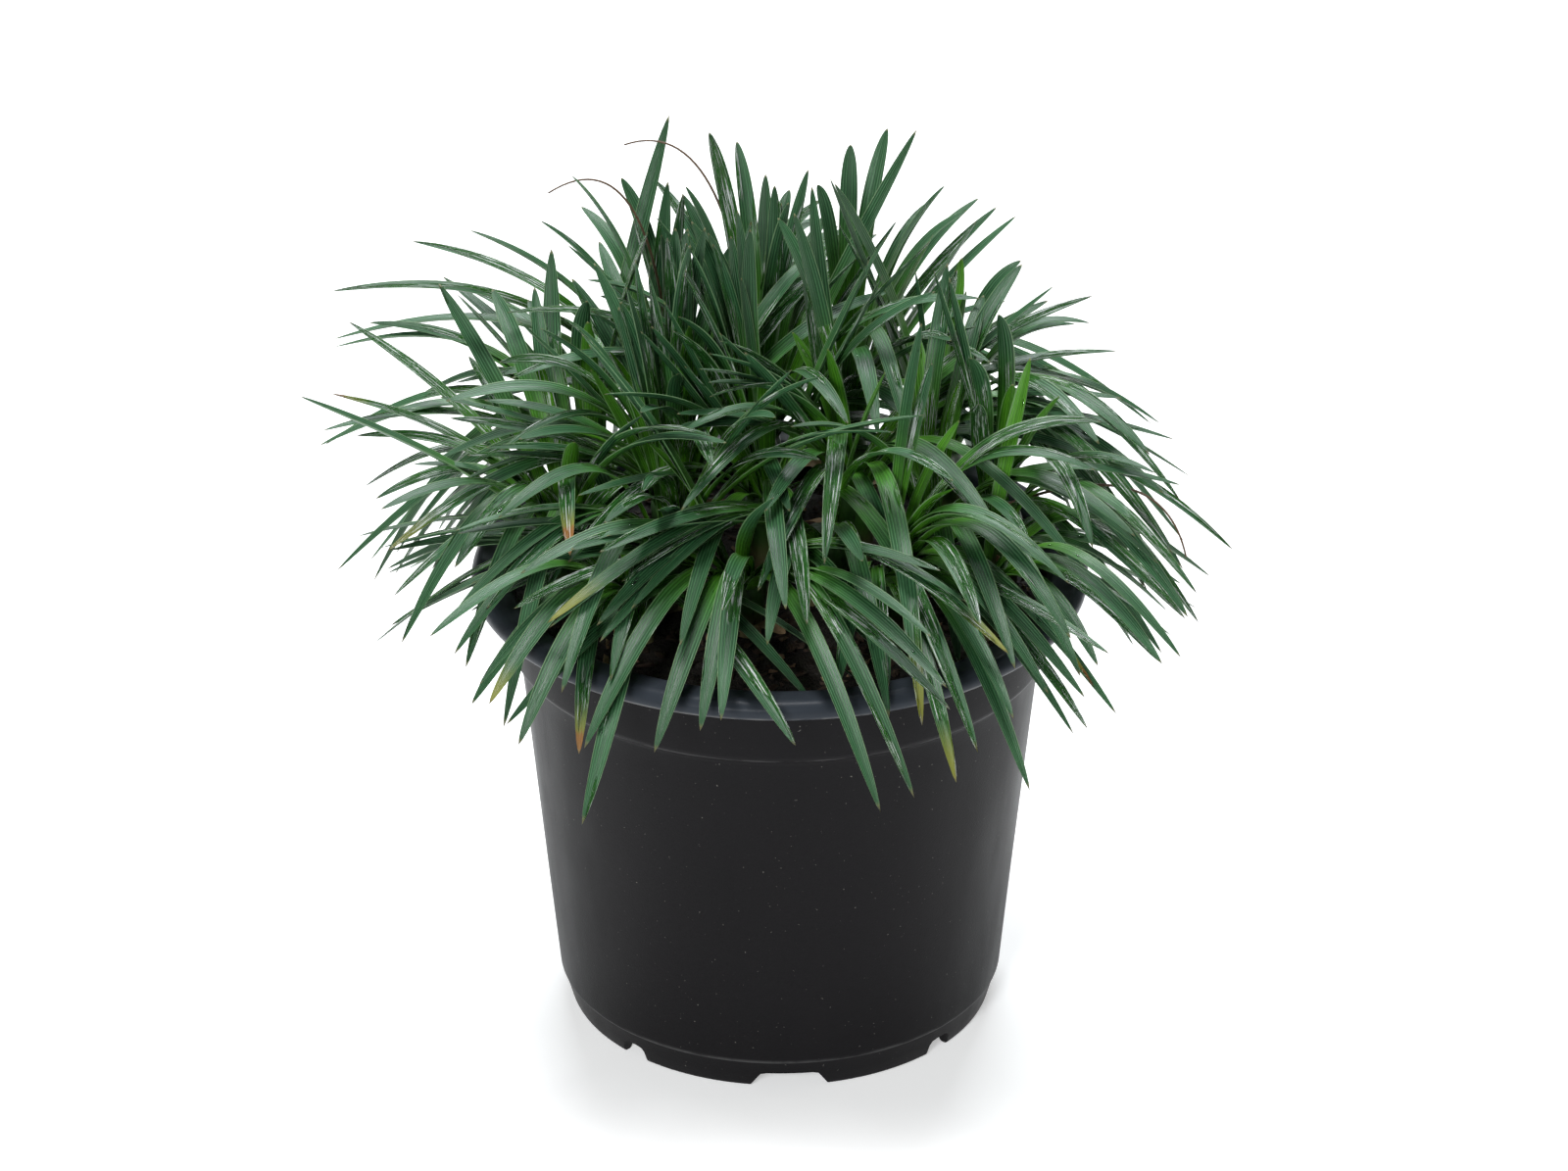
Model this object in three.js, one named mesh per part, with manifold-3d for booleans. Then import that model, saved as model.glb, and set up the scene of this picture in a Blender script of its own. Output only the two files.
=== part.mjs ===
// A dwarf mondo grass growing in a round black nursery pot.
// Lengths are in millimetres and +Z is up. The pot stands on Z = 0 with its axis on X = Y = 0.

import * as THREE from "three";
import { mergeVertices } from "three/addons/utils/BufferGeometryUtils.js";
import Module from "manifold-3d";

const wasm = await Module();
wasm.setup();

// Pot
const POT_HEIGHT = 102;
const RIM_RADIUS = 65;
const RIM_INNER_RADIUS = 57.6;
const RIM_UNDERSIDE = 98;
const BAND_RADIUS = 57.6;
const BAND_BOTTOM = 84.4;
const WALL_TOP_RADIUS = 55.2;
const WALL_BOTTOM_RADIUS = 47.7;
const FOOT_HEIGHT = 7.3;
const FOOT_RADIUS = 45.4;
const FOOT_THICKNESS = 2;
const WALL_THICKNESS = 1.4;
const FLOOR_UNDERSIDE = 4.3;
const FLOOR_THICKNESS = 1.4;
const POT_SIDES = 36;

// Notches in the foot ring, wide and narrow by turns, and drain holes in the floor
const NOTCH_COUNT = 8;
const FIRST_NOTCH_ANGLE = -87.5;
const NOTCH_HEIGHT = 3.9;
const WIDE_NOTCH = { bottom: 18, top: 12 };
const NARROW_NOTCH = { bottom: 7, top: 4.6 };
const DRAIN_HOLE_RADIUS = 4;
const DRAIN_HOLE_CIRCLE = 34;

// Potting mix
const SOIL_EDGE_HEIGHT = 93;
const SOIL_MOUND = 2.5;
const SOIL_LUMP = 0.9;
const CLEARANCE = 0.3;

// Crowns, the short stems that the leaves spring from
const COLLAR_RADIUS = 5.8;
const STEM_RADIUS = 4.6;
const CROWN_DEPTH = 13;
const CROWN_SIDES = 8;

// Leaves
const LEAVES_PER_TUFT = 20;
const YOUNG_LEAVES_PER_TUFT = 2;
const LEAF_STATIONS = [0, 0.25, 0.56, 0.9, 1];
const LEAF_HALF_WIDTHS = [1, 1.95, 2.3, 1.5, 0];
const LEAF_KEEL = [1, 0.95, 0.85, 0.7, 0];
const BEND_REACH = 0.3;
const ROOT_RINGS = [{ radius: 3.7, count: 11 }, { radius: 2.3, count: 7 }, { radius: 0.9, count: 4 }];
const ROOT_SINK = 2.5;
const LEVEL_MISFIT = 0.3;
const WORST_MISFIT = 1.2;
const UPRIGHT_TIP_HEIGHT = 66;

// The dome that the leaf tips fill, measured from a point level with the rim. It is flatter
// than a ball, by a share for the middle, and by a further share for each mm to the front.
const DOME_CENTRE_HEIGHT = 100;
const DOME_FLATNESS = 0.78;
const DOME_RISE_TO_BACK = 0.003;
const DOME_RADIUS = { shortest: 48, longest: 86 };
const DOME_LOWEST_ANGLE = -10;
const DOME_HIGHEST_ANGLE = 80;
const LEAF_SPAN = { shortest: 40, longest: 82 };
const LEAF_RISE = { least: 14, spread: 24 };
// Leaf tips reach no farther than this from the pot's axis
const FARTHEST = { left: -98.2, right: 95.8, front: -85.5, back: 85.5 };

// Space that a placed leaf keeps for itself
const CELL = 0.6;
const KEEP_CLEAR = 1.3;
const SPACE_HALF_WIDTH = 110;
const SPACE_BOTTOM = 50;
const SPACE_HEIGHT = 160;
const SAMPLE_STEP = 1.1;
const SAMPLES_ACROSS = 5;
const SHARED_ROOT_LENGTH = 20;
const TRIES = 600;
const SHARED = 127;

// Each crown has its place, the height of its collar, and its leading leaves, as the place
// of the tip and how far the leaf first rises before it bends over.
const TUFTS = [
  {
    name: "tuft_front_left", place: [-30, -22], collar: 107,
    leaders: [
      { tip: [-70, -62, 116], rise: 24 }, { tip: [-58, -70, 105], rise: 22 },
      { tip: [-52, -76, 99], rise: 20 }, { tip: [-44, -80, 90], rise: 24 },
      { tip: [-37, -82, 96], rise: 20 },
    ],
  },
  {
    name: "tuft_front", place: [-8, -18], collar: 108,
    leaders: [
      { tip: [20, -85.5, 89], rise: 24 }, { tip: [27, -70, 92], rise: 22 },
      { tip: [-56, -60, 96], rise: 20 }, { tip: [-39, -72, 96], rise: 24 },
      { tip: [-24, -76, 99], rise: 22 }, { tip: [-17, -80, 99], rise: 20 },
      { tip: [-12, -74, 103], rise: 26 }, { tip: [-64, -30, 123], rise: 20 },
      { tip: [-58, -52, 113], rise: 18 },
    ],
  },
  {
    name: "tuft_front_right", place: [22, -17], collar: 108,
    leaders: [
      { tip: [59, -42, 101], rise: 24 }, { tip: [54, -62, 103], rise: 24 },
      { tip: [47, -72, 103], rise: 20 }, { tip: [48, -72, 86], rise: 26 },
      { tip: [40, -78, 81], rise: 24 }, { tip: [31, -74, 88], rise: 24 },
      { tip: [-15, -70, 90], rise: 24 },
    ],
  },
  {
    name: "tuft_right_front", place: [42, -18], collar: 108,
    leaders: [
      { tip: [81, -54, 107], rise: 28 }, { tip: [75, -52, 108], rise: 24 },
      { tip: [73, -30, 97], rise: 26 }, { tip: [72, -60, 104], rise: 26 },
      { tip: [63, -64, 107], rise: 22 },
    ],
  },
  {
    name: "tuft_centre", place: [9, -5], collar: 112,
    leaders: [
      { tip: [22, -66, 100], rise: 26 }, { tip: [-30, -50, 116], rise: 26 },
      { tip: [2, -66, 108], rise: 26 },
    ],
  },
  {
    name: "tuft_centre_left", place: [-22, -7], collar: 111,
    leaders: [
      { tip: [-66, -44, 112], rise: 28 }, { tip: [-48, -58, 104], rise: 26 },
      { tip: [-34, -62, 106], rise: 24 },
    ],
  },
  {
    name: "tuft_centre_right", place: [31, 0], collar: 112,
    leaders: [
      { tip: [62, -50, 104], rise: 26 }, { tip: [48, -58, 106], rise: 26 },
      { tip: [78, -22, 112], rise: 28 },
    ],
  },
  {
    name: "tuft_middle", place: [-3, 9], collar: 115,
    leaders: [
      { tip: [35, -70, 89], rise: 22 }, { tip: [5, -50, 115], rise: 20 },
      { tip: [-40, -46, 118], rise: 22 }, { tip: [-23, -55, 109], rise: 20 },
    ],
  },
  {
    name: "tuft_middle_right", place: [15, 12], collar: 116,
    leaders: [
      { tip: [66, 28, 150], rise: 28 }, { tip: [71, 34, 137], rise: 26 },
      { tip: [83, 10, 125], rise: 26 }, { tip: [65, -32, 110], rise: 34 },
      { tip: [59, -38, 109], rise: 30 }, { tip: [55, -42, 111], rise: 16 },
      { tip: [33, -60, 94], rise: 26 }, { tip: [36, -54, 95], rise: 22 },
      { tip: [28, -50, 94], rise: 30 }, { tip: [25, -44, 113], rise: 24 },
      { tip: [-3, -46, 118], rise: 24 }, { tip: [-3, -36, 131], rise: 24 },
      { tip: [-20, -24, 143], rise: 32 }, { tip: [-44, -20, 108], rise: 36 },
      { tip: [-20, -36, 131], rise: 36 },
    ],
  },
  {
    name: "tuft_middle_left", place: [-22, 10], collar: 114,
    leaders: [
      { tip: [-93, -6, 102], rise: 38 }, { tip: [-81, -20, 114], rise: 28 },
      { tip: [-60, -4, 131], rise: 18 }, { tip: [-61, -24, 138], rise: 16 },
      { tip: [-51, -48, 102], rise: 38 },
    ],
  },
  {
    name: "tuft_left", place: [-45, 0], collar: 110,
    leaders: [
      { tip: [-91, 26, 145], rise: 22 }, { tip: [-94, -6, 153], rise: 24 },
      { tip: [-89, -14, 144], rise: 16 }, { tip: [-86, -14, 132], rise: 24 },
      { tip: [-80, -38, 134], rise: 26 }, { tip: [-77, -44, 105], rise: 34 },
      { tip: [-63, -50, 103], rise: 34 }, { tip: [-56, -50, 93], rise: 40 },
      { tip: [-28, -62, 98], rise: 22 },
    ],
  },
  {
    name: "tuft_back_left", place: [-40, 24], collar: 113,
    leaders: [
      { tip: [-98, 34, 112], rise: 32 }, { tip: [-93, 12, 134], rise: 28 },
      { tip: [-98.2, 31, 135], rise: 38 }, { tip: [-73, 52, 143], rise: 20 },
      { tip: [-70, 52, 140], rise: 24 }, { tip: [-27, 48, 176], rise: 38 },
    ],
  },
  {
    name: "tuft_back_middle_left", place: [-23, 41], collar: 115,
    leaders: [
      { tip: [-66, 42, 159], rise: 34 }, { tip: [-79, 52, 152], rise: 34 },
      { tip: [-96, 46, 144], rise: 40 }, { tip: [-95, 40, 135], rise: 40 },
      { tip: [-43, 66, 154], rise: 36 }, { tip: [-40, 42, 171], rise: 38 },
      { tip: [-30, 85.5, 118], rise: 34 },
    ],
  },
  {
    name: "tuft_back_middle", place: [-5, 32], collar: 117,
    leaders: [
      { tip: [-72, 24, 125], rise: 24 }, { tip: [-69, 28, 131], rise: 24 },
      { tip: [-56, 4, 142], rise: 34 }, { tip: [-56, 19, 149], rise: 32 },
      { tip: [-15, 48, 179], rise: 44 }, { tip: [-27, 62, 162], rise: 38 },
      { tip: [-8, 56, 172], rise: 44 }, { tip: [6, 42, 173], rise: 30 },
      { tip: [28, 56, 176], rise: 26 }, { tip: [20, 56, 147], rise: 26 },
      { tip: [14, -16, 141], rise: 36 }, { tip: [-3, -25, 104], rise: 34 },
      { tip: [10, 62, 123], rise: 40 },
    ],
  },
  {
    name: "tuft_back", place: [14, 44], collar: 116,
    leaders: [
      { tip: [15, 53, 174], rise: 46 }, { tip: [23, 62, 174], rise: 42 },
      { tip: [35, 45, 168], rise: 38 }, { tip: [32, 66, 155], rise: 32 },
      { tip: [43, 66, 156], rise: 32 }, { tip: [47, 66, 154], rise: 24 },
      { tip: [51, 64, 153], rise: 20 }, { tip: [48, 34, 146], rise: 24 },
      { tip: [26, -12, 130], rise: 44 }, { tip: [20, -10, 135], rise: 44 },
      { tip: [57, 0, 112], rise: 44 }, { tip: [30, 85.5, 120], rise: 34 },
    ],
  },
  {
    name: "tuft_back_right", place: [34, 32], collar: 114,
    leaders: [
      { tip: [62, 22, 148], rise: 32 }, { tip: [56, 26, 141], rise: 26 },
      { tip: [81, 26, 121], rise: 32 }, { tip: [84, -4, 119], rise: 36 },
      { tip: [82, -10, 108], rise: 34 },
    ],
  },
  {
    name: "tuft_right", place: [46, 8], collar: 111,
    leaders: [
      { tip: [78, -6, 125], rise: 22 }, { tip: [95.8, 6, 101], rise: 26 },
      { tip: [86, -30, 108], rise: 28 }, { tip: [85, -34, 102], rise: 26 },
      { tip: [84, -34, 107], rise: 24 },
    ],
  },
];

const toRadians = (degrees) => (degrees * Math.PI) / 180;

function seededRandom(seed) {
  let state = seed;
  return () => {
    state = (state * 48271) % 2147483647;
    return state / 2147483647;
  };
}

// Solids

function welded(geometry) {
  const bare = geometry.clone();
  bare.deleteAttribute("normal");
  bare.deleteAttribute("uv");
  return mergeVertices(bare, 1e-4);
}

function toSolid(geometry) {
  const merged = welded(geometry);
  const triangles = [];
  const index = merged.index.array;
  for (let i = 0; i < index.length; i += 3) {
    const [a, b, c] = [index[i], index[i + 1], index[i + 2]];
    if (a !== b && b !== c && c !== a) triangles.push(a, b, c);
  }
  return new wasm.Manifold(new wasm.Mesh({
    numProp: 3,
    vertProperties: new Float32Array(merged.attributes.position.array),
    triVerts: new Uint32Array(triangles),
  }));
}

// The largest closed shell of a solid, which leaves out any hollow sealed between fused roots
function outerShell(triangles, pointCount) {
  const parent = Array.from({ length: pointCount }, (_, i) => i);
  const shellOf = (i) => {
    let top = i;
    while (parent[top] !== top) top = parent[top];
    parent[i] = top;
    return top;
  };
  for (let i = 0; i < triangles.length; i += 3) {
    parent[shellOf(triangles[i + 1])] = shellOf(triangles[i]);
    parent[shellOf(triangles[i + 2])] = shellOf(triangles[i]);
  }
  const shells = new Map();
  for (let i = 0; i < triangles.length; i += 3) {
    const shell = shellOf(triangles[i]);
    if (!shells.has(shell)) shells.set(shell, []);
    shells.get(shell).push(triangles[i], triangles[i + 1], triangles[i + 2]);
  }
  return [...shells.values()].sort((a, b) => b.length - a.length)[0];
}

function toGeometry(solid) {
  const mesh = solid.getMesh();
  const pointCount = mesh.vertProperties.length / 3;
  const geometry = new THREE.BufferGeometry();
  geometry.setAttribute("position", new THREE.Float32BufferAttribute(mesh.vertProperties, 3));
  geometry.setIndex(outerShell(mesh.triVerts, pointCount));
  geometry.computeVertexNormals();
  return geometry;
}

function turned(profile, sides) {
  const points = profile.map(([radius, height]) => new THREE.Vector2(radius, height));
  return new THREE.LatheGeometry(points, sides).rotateX(Math.PI / 2);
}

// Pot

const potInnerRadius = (height) => {
  const slope = (WALL_TOP_RADIUS - WALL_BOTTOM_RADIUS) / (BAND_BOTTOM - FOOT_HEIGHT);
  return WALL_BOTTOM_RADIUS + slope * (height - FOOT_HEIGHT) - WALL_THICKNESS;
};

function potProfile() {
  const floorTop = FLOOR_UNDERSIDE + FLOOR_THICKNESS;
  return [
    [0, FLOOR_UNDERSIDE],
    [FOOT_RADIUS - FOOT_THICKNESS - 0.6, FLOOR_UNDERSIDE],
    [FOOT_RADIUS - FOOT_THICKNESS, 0],
    [FOOT_RADIUS, 0],
    [WALL_BOTTOM_RADIUS - 0.4, FOOT_HEIGHT - 0.4],
    [WALL_BOTTOM_RADIUS, FOOT_HEIGHT],
    [WALL_TOP_RADIUS, BAND_BOTTOM - 0.8],
    [BAND_RADIUS - 0.3, BAND_BOTTOM + 0.4],
    [BAND_RADIUS, RIM_UNDERSIDE - 0.4],
    [RIM_RADIUS - 0.5, RIM_UNDERSIDE],
    [RIM_RADIUS, POT_HEIGHT - 1.8],
    [RIM_RADIUS - 1.8, POT_HEIGHT],
    [RIM_INNER_RADIUS, POT_HEIGHT - 0.4],
    [BAND_RADIUS - WALL_THICKNESS, POT_HEIGHT - 2.6],
    [BAND_RADIUS - WALL_THICKNESS, BAND_BOTTOM + 1.4],
    [potInnerRadius(BAND_BOTTOM), BAND_BOTTOM - 0.6],
    [potInnerRadius(FOOT_HEIGHT), FOOT_HEIGHT],
    [FOOT_RADIUS - FOOT_THICKNESS + 0.8, floorTop],
    [0, floorTop],
  ];
}

function notchCutter(notch, angle) {
  const lip = 1;
  const corner = 1.2;
  const outline = new THREE.Shape();
  outline.moveTo(-notch.bottom / 2, -lip);
  outline.lineTo(notch.bottom / 2, -lip);
  outline.lineTo(notch.top / 2 + corner * 0.6, NOTCH_HEIGHT - corner);
  outline.lineTo(notch.top / 2 - corner, NOTCH_HEIGHT);
  outline.lineTo(-notch.top / 2 + corner, NOTCH_HEIGHT);
  outline.lineTo(-notch.top / 2 - corner * 0.6, NOTCH_HEIGHT - corner);
  outline.closePath();
  const depth = 16;
  const cutter = new THREE.ExtrudeGeometry(outline, { depth, bevelEnabled: false });
  cutter.rotateX(Math.PI / 2);
  cutter.rotateZ(Math.PI);
  cutter.translate(0, FOOT_RADIUS - depth / 2, 0);
  cutter.rotateZ(toRadians(angle - 90));
  return toSolid(cutter);
}

function drainHoleCutter(angle) {
  const cutter = new THREE.CylinderGeometry(DRAIN_HOLE_RADIUS, DRAIN_HOLE_RADIUS, 6, 8);
  cutter.rotateX(Math.PI / 2);
  cutter.translate(DRAIN_HOLE_CIRCLE, 0, FLOOR_UNDERSIDE + FLOOR_THICKNESS / 2);
  cutter.rotateZ(toRadians(angle));
  return toSolid(cutter);
}

function potSolid() {
  let pot = toSolid(turned(potProfile(), POT_SIDES));
  for (let i = 0; i < NOTCH_COUNT; i += 1) {
    const angle = FIRST_NOTCH_ANGLE + (360 / NOTCH_COUNT) * i;
    pot = pot.subtract(notchCutter(i % 2 === 0 ? WIDE_NOTCH : NARROW_NOTCH, angle));
    pot = pot.subtract(drainHoleCutter(angle));
  }
  return pot;
}

// Potting mix

const soilHeight = (radius) => {
  const share = Math.min(1, radius / RIM_INNER_RADIUS);
  return SOIL_EDGE_HEIGHT + SOIL_MOUND * (1 - share * share);
};

function soilSolid() {
  const bottom = FLOOR_UNDERSIDE + FLOOR_THICKNESS + CLEARANCE;
  const edge = BAND_RADIUS - WALL_THICKNESS - CLEARANCE;
  const profile = [
    [0, bottom],
    [FOOT_RADIUS - FOOT_THICKNESS + 0.4, bottom],
    [potInnerRadius(FOOT_HEIGHT) - CLEARANCE, FOOT_HEIGHT + 0.6],
    [potInnerRadius(BAND_BOTTOM) - CLEARANCE, BAND_BOTTOM - 0.8],
    [edge, BAND_BOTTOM + 1.6],
    [edge, soilHeight(edge)],
    [38, soilHeight(38)],
    [18, soilHeight(18)],
    [0, soilHeight(0)],
  ];
  const block = welded(turned(profile, POT_SIDES));
  const random = seededRandom(4021);
  const place = block.attributes.position;
  for (let i = 0; i < place.count; i += 1) {
    const z = place.getZ(i);
    const radius = Math.hypot(place.getX(i), place.getY(i));
    if (z > SOIL_EDGE_HEIGHT - 1 && radius < edge - 5) {
      place.setZ(i, z + (random() - 0.5) * 2 * SOIL_LUMP);
    }
  }
  let soil = toSolid(block);
  for (const tuft of TUFTS) soil = soil.subtract(crownHole(tuft));
  return soil;
}

// Crowns

const soilAt = (tuft) => soilHeight(Math.hypot(...tuft.place));

function crownHole(tuft) {
  const radius = STEM_RADIUS + CLEARANCE;
  const bottom = soilAt(tuft) - CROWN_DEPTH - CLEARANCE;
  const hole = turned(
    [[0, bottom], [radius, bottom], [radius, POT_HEIGHT], [0, POT_HEIGHT]],
    CROWN_SIDES,
  );
  return toSolid(hole.translate(tuft.place[0], tuft.place[1], 0));
}

function crownSolid(tuft) {
  const bottom = soilAt(tuft) - CROWN_DEPTH;
  const profile = [
    [0, bottom],
    [STEM_RADIUS, bottom],
    [STEM_RADIUS, soilAt(tuft) + 2 * SOIL_LUMP],
    [COLLAR_RADIUS, tuft.collar],
    [0, tuft.collar],
  ];
  const crown = turned(profile, CROWN_SIDES);
  return toSolid(crown.translate(tuft.place[0], tuft.place[1], 0));
}

// Leaves. A leaf follows a curve from its root by a bend point to its tip.

// The roots stand in rings on the crown's flat top, upright leaves in the inner rings
function rootPlaces(tuft) {
  const places = [];
  ROOT_RINGS.forEach((ring, level) => {
    for (let i = 0; i < ring.count; i += 1) {
      const turn = ((i + 0.5 * (level % 2)) * 2 * Math.PI) / ring.count;
      const x = tuft.place[0] + ring.radius * Math.cos(turn);
      const y = tuft.place[1] + ring.radius * Math.sin(turn);
      places.push({ level, turn, point: [x, y, tuft.collar - ROOT_SINK], taken: false });
    }
  });
  return places;
}

// The free root place that suits a leaf best, by its heading and how upright it is
function bestRoot(tuft, heading, steepness) {
  const wanted = Math.min(ROOT_RINGS.length - 1, Math.floor(steepness * ROOT_RINGS.length));
  let best = null;
  for (const place of tuft.roots) {
    if (place.taken) continue;
    const misfit = 1 - Math.cos(place.turn - heading) + LEVEL_MISFIT * Math.abs(place.level - wanted);
    if (!best || misfit < best.misfit) best = { place, misfit };
  }
  return best && best.misfit < WORST_MISFIT ? best.place : null;
}

function leafShape(tuft, aim) {
  const [cx, cy] = tuft.place;
  const [dx, dy] = [aim.tip[0] - cx, aim.tip[1] - cy];
  const reach = Math.hypot(dx, dy);
  const [ux, uy] = [dx / reach, dy / reach];
  const steepness = Math.min(1, Math.max(0, (aim.tip[2] - tuft.collar) / UPRIGHT_TIP_HEIGHT));
  const place = bestRoot(tuft, Math.atan2(dy, dx), steepness);
  if (!place) return null;
  const bendX = cx + dx * BEND_REACH - uy * aim.sway;
  const bendY = cy + dy * BEND_REACH + ux * aim.sway;
  const bend = [bendX, bendY, tuft.collar + aim.rise];
  return { place, root: place.point, bend, tip: aim.tip, across: [-uy, ux, 0], roll: aim.roll };
}

const scaled = (v, k) => [v[0] * k, v[1] * k, v[2] * k];
const plus = (a, b) => [a[0] + b[0], a[1] + b[1], a[2] + b[2]];
const minus = (a, b) => [a[0] - b[0], a[1] - b[1], a[2] - b[2]];
const dot = (a, b) => a[0] * b[0] + a[1] * b[1] + a[2] * b[2];
const cross = (a, b) => [
  a[1] * b[2] - a[2] * b[1],
  a[2] * b[0] - a[0] * b[2],
  a[0] * b[1] - a[1] * b[0],
];
const unit = (v) => scaled(v, 1 / Math.sqrt(dot(v, v)));

// The middle of the blade at a share of its length, with its side and face directions
function leafFrame(shape, t) {
  const s = 1 - t;
  const { root, bend, tip } = shape;
  const centre = plus(plus(scaled(root, s * s), scaled(bend, 2 * s * t)), scaled(tip, t * t));
  const along = unit(plus(scaled(minus(bend, root), s), scaled(minus(tip, bend), t)));
  const level = unit(minus(shape.across, scaled(along, dot(shape.across, along))));
  const upright = cross(along, level);
  const turn = toRadians(shape.roll * t);
  const side = plus(scaled(level, Math.cos(turn)), scaled(upright, Math.sin(turn)));
  return { centre, side, face: cross(along, side) };
}

function leafRings(shape) {
  return LEAF_STATIONS.map((t, i) => {
    const { centre, side, face } = leafFrame(shape, t);
    const half = LEAF_HALF_WIDTHS[i];
    return {
      left: plus(centre, scaled(side, half)),
      right: minus(centre, scaled(side, half)),
      keel: minus(centre, scaled(face, LEAF_KEEL[i])),
    };
  });
}

function leafSolid(shape) {
  const rings = leafRings(shape);
  const last = rings.length - 1;
  const points = [];
  for (const ring of rings.slice(0, last)) points.push(ring.left, ring.right, ring.keel);
  points.push(shape.tip);
  const triangles = [0, 2, 1];
  for (let i = 0; i < last - 1; i += 1) {
    for (let k = 0; k < 3; k += 1) {
      const [a, b] = [3 * i + k, 3 * i + ((k + 1) % 3)];
      triangles.push(a, b, b + 3, a, b + 3, a + 3);
    }
  }
  const end = 3 * (last - 1);
  for (let k = 0; k < 3; k += 1) triangles.push(end + k, end + ((k + 1) % 3), 3 * last);
  return new wasm.Manifold(new wasm.Mesh({
    numProp: 3,
    vertProperties: new Float32Array(points.flat()),
    triVerts: new Uint32Array(triangles),
  }));
}

// Points spread over the blade, each with its distance from the root
function leafSamples(shape) {
  const rings = leafRings(shape);
  const samples = [];
  let travelled = 0;
  for (let i = 0; i + 1 < rings.length; i += 1) {
    const [from, to] = [rings[i], rings[i + 1]];
    const gap = minus(plus(to.left, to.right), plus(from.left, from.right));
    const length = Math.sqrt(dot(gap, gap)) / 2;
    const steps = Math.ceil(length / SAMPLE_STEP);
    for (let j = 0; j < steps; j += 1) {
      const t = j / steps;
      const left = plus(scaled(from.left, 1 - t), scaled(to.left, t));
      const right = plus(scaled(from.right, 1 - t), scaled(to.right, t));
      for (let k = 0; k < SAMPLES_ACROSS; k += 1) {
        const u = k / (SAMPLES_ACROSS - 1);
        const point = plus(scaled(left, 1 - u), scaled(right, u));
        samples.push({ point, distance: travelled + length * t });
      }
    }
    travelled += length;
  }
  return samples;
}

// The space round the plant as small cells, each free, kept by one tuft or shared
const CELLS_WIDE = Math.ceil((2 * SPACE_HALF_WIDTH) / CELL);
const CELLS_HIGH = Math.ceil(SPACE_HEIGHT / CELL);
const space = new Int8Array(CELLS_WIDE * CELLS_WIDE * CELLS_HIGH);

function cellOf(point) {
  const i = Math.floor((point[0] + SPACE_HALF_WIDTH) / CELL);
  const j = Math.floor((point[1] + SPACE_HALF_WIDTH) / CELL);
  const k = Math.floor((point[2] - SPACE_BOTTOM) / CELL);
  return (i * CELLS_WIDE + j) * CELLS_HIGH + k;
}

const NEARBY_CELLS = [];
const NEARBY_REACH = Math.ceil(KEEP_CLEAR / CELL);
for (let i = -NEARBY_REACH; i <= NEARBY_REACH; i += 1) {
  for (let j = -NEARBY_REACH; j <= NEARBY_REACH; j += 1) {
    for (let k = -NEARBY_REACH; k <= NEARBY_REACH; k += 1) {
      if (Math.sqrt(i * i + j * j + k * k) * CELL <= KEEP_CLEAR) {
        NEARBY_CELLS.push((i * CELLS_WIDE + j) * CELLS_HIGH + k);
      }
    }
  }
}

function keep(points, owner) {
  for (const point of points) {
    const cell = cellOf(point);
    for (const step of NEARBY_CELLS) {
      const held = space[cell + step];
      space[cell + step] = held === 0 || held === owner ? owner : SHARED;
    }
  }
}

// Whether a point would be inside the pot's wall, its rim or the potting mix
function insidePot(point) {
  const margin = 1.2;
  const radius = Math.hypot(point[0], point[1]);
  if (point[2] > POT_HEIGHT + margin) return false;
  if (radius > RIM_RADIUS + margin) return false;
  if (point[2] < RIM_UNDERSIDE - margin && radius > BAND_RADIUS + margin) return false;
  const insideMouth = radius < BAND_RADIUS - WALL_THICKNESS - 2 * margin;
  return !(insideMouth && point[2] > soilHeight(radius) + SOIL_LUMP + margin);
}

function isClear(samples, owner) {
  for (const { point, distance } of samples) {
    if (insidePot(point)) return false;
    const held = space[cellOf(point)];
    if (held === 0) continue;
    if (held !== owner || distance > SHARED_ROOT_LENGTH) return false;
  }
  return true;
}

function crownSamples(tuft) {
  const points = [];
  const [x, y] = tuft.place;
  for (let height = SOIL_EDGE_HEIGHT; height <= tuft.collar; height += 1) {
    for (let angle = 0; angle < 360; angle += 15) {
      const turn = toRadians(angle);
      for (const share of [1, 0.75, 0.5]) {
        const radius = share * COLLAR_RADIUS;
        points.push([x + radius * Math.cos(turn), y + radius * Math.sin(turn), height]);
      }
    }
  }
  return points;
}

// Leading leaves are tried as given, then a little aside, until they pass every other leaf
function leaderAim(leader, attempt, random) {
  const stray = Math.min(1, attempt / 40);
  const shift = () => (random() - 0.5) * 2 * stray;
  const nudge = [5 * shift(), 14 * shift(), 6 * shift()];
  const rise = leader.rise * (1 + 0.4 * shift());
  return { tip: plus(leader.tip, nudge), rise, sway: 8 * shift(), roll: 24 * (random() - 0.5) };
}

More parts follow.
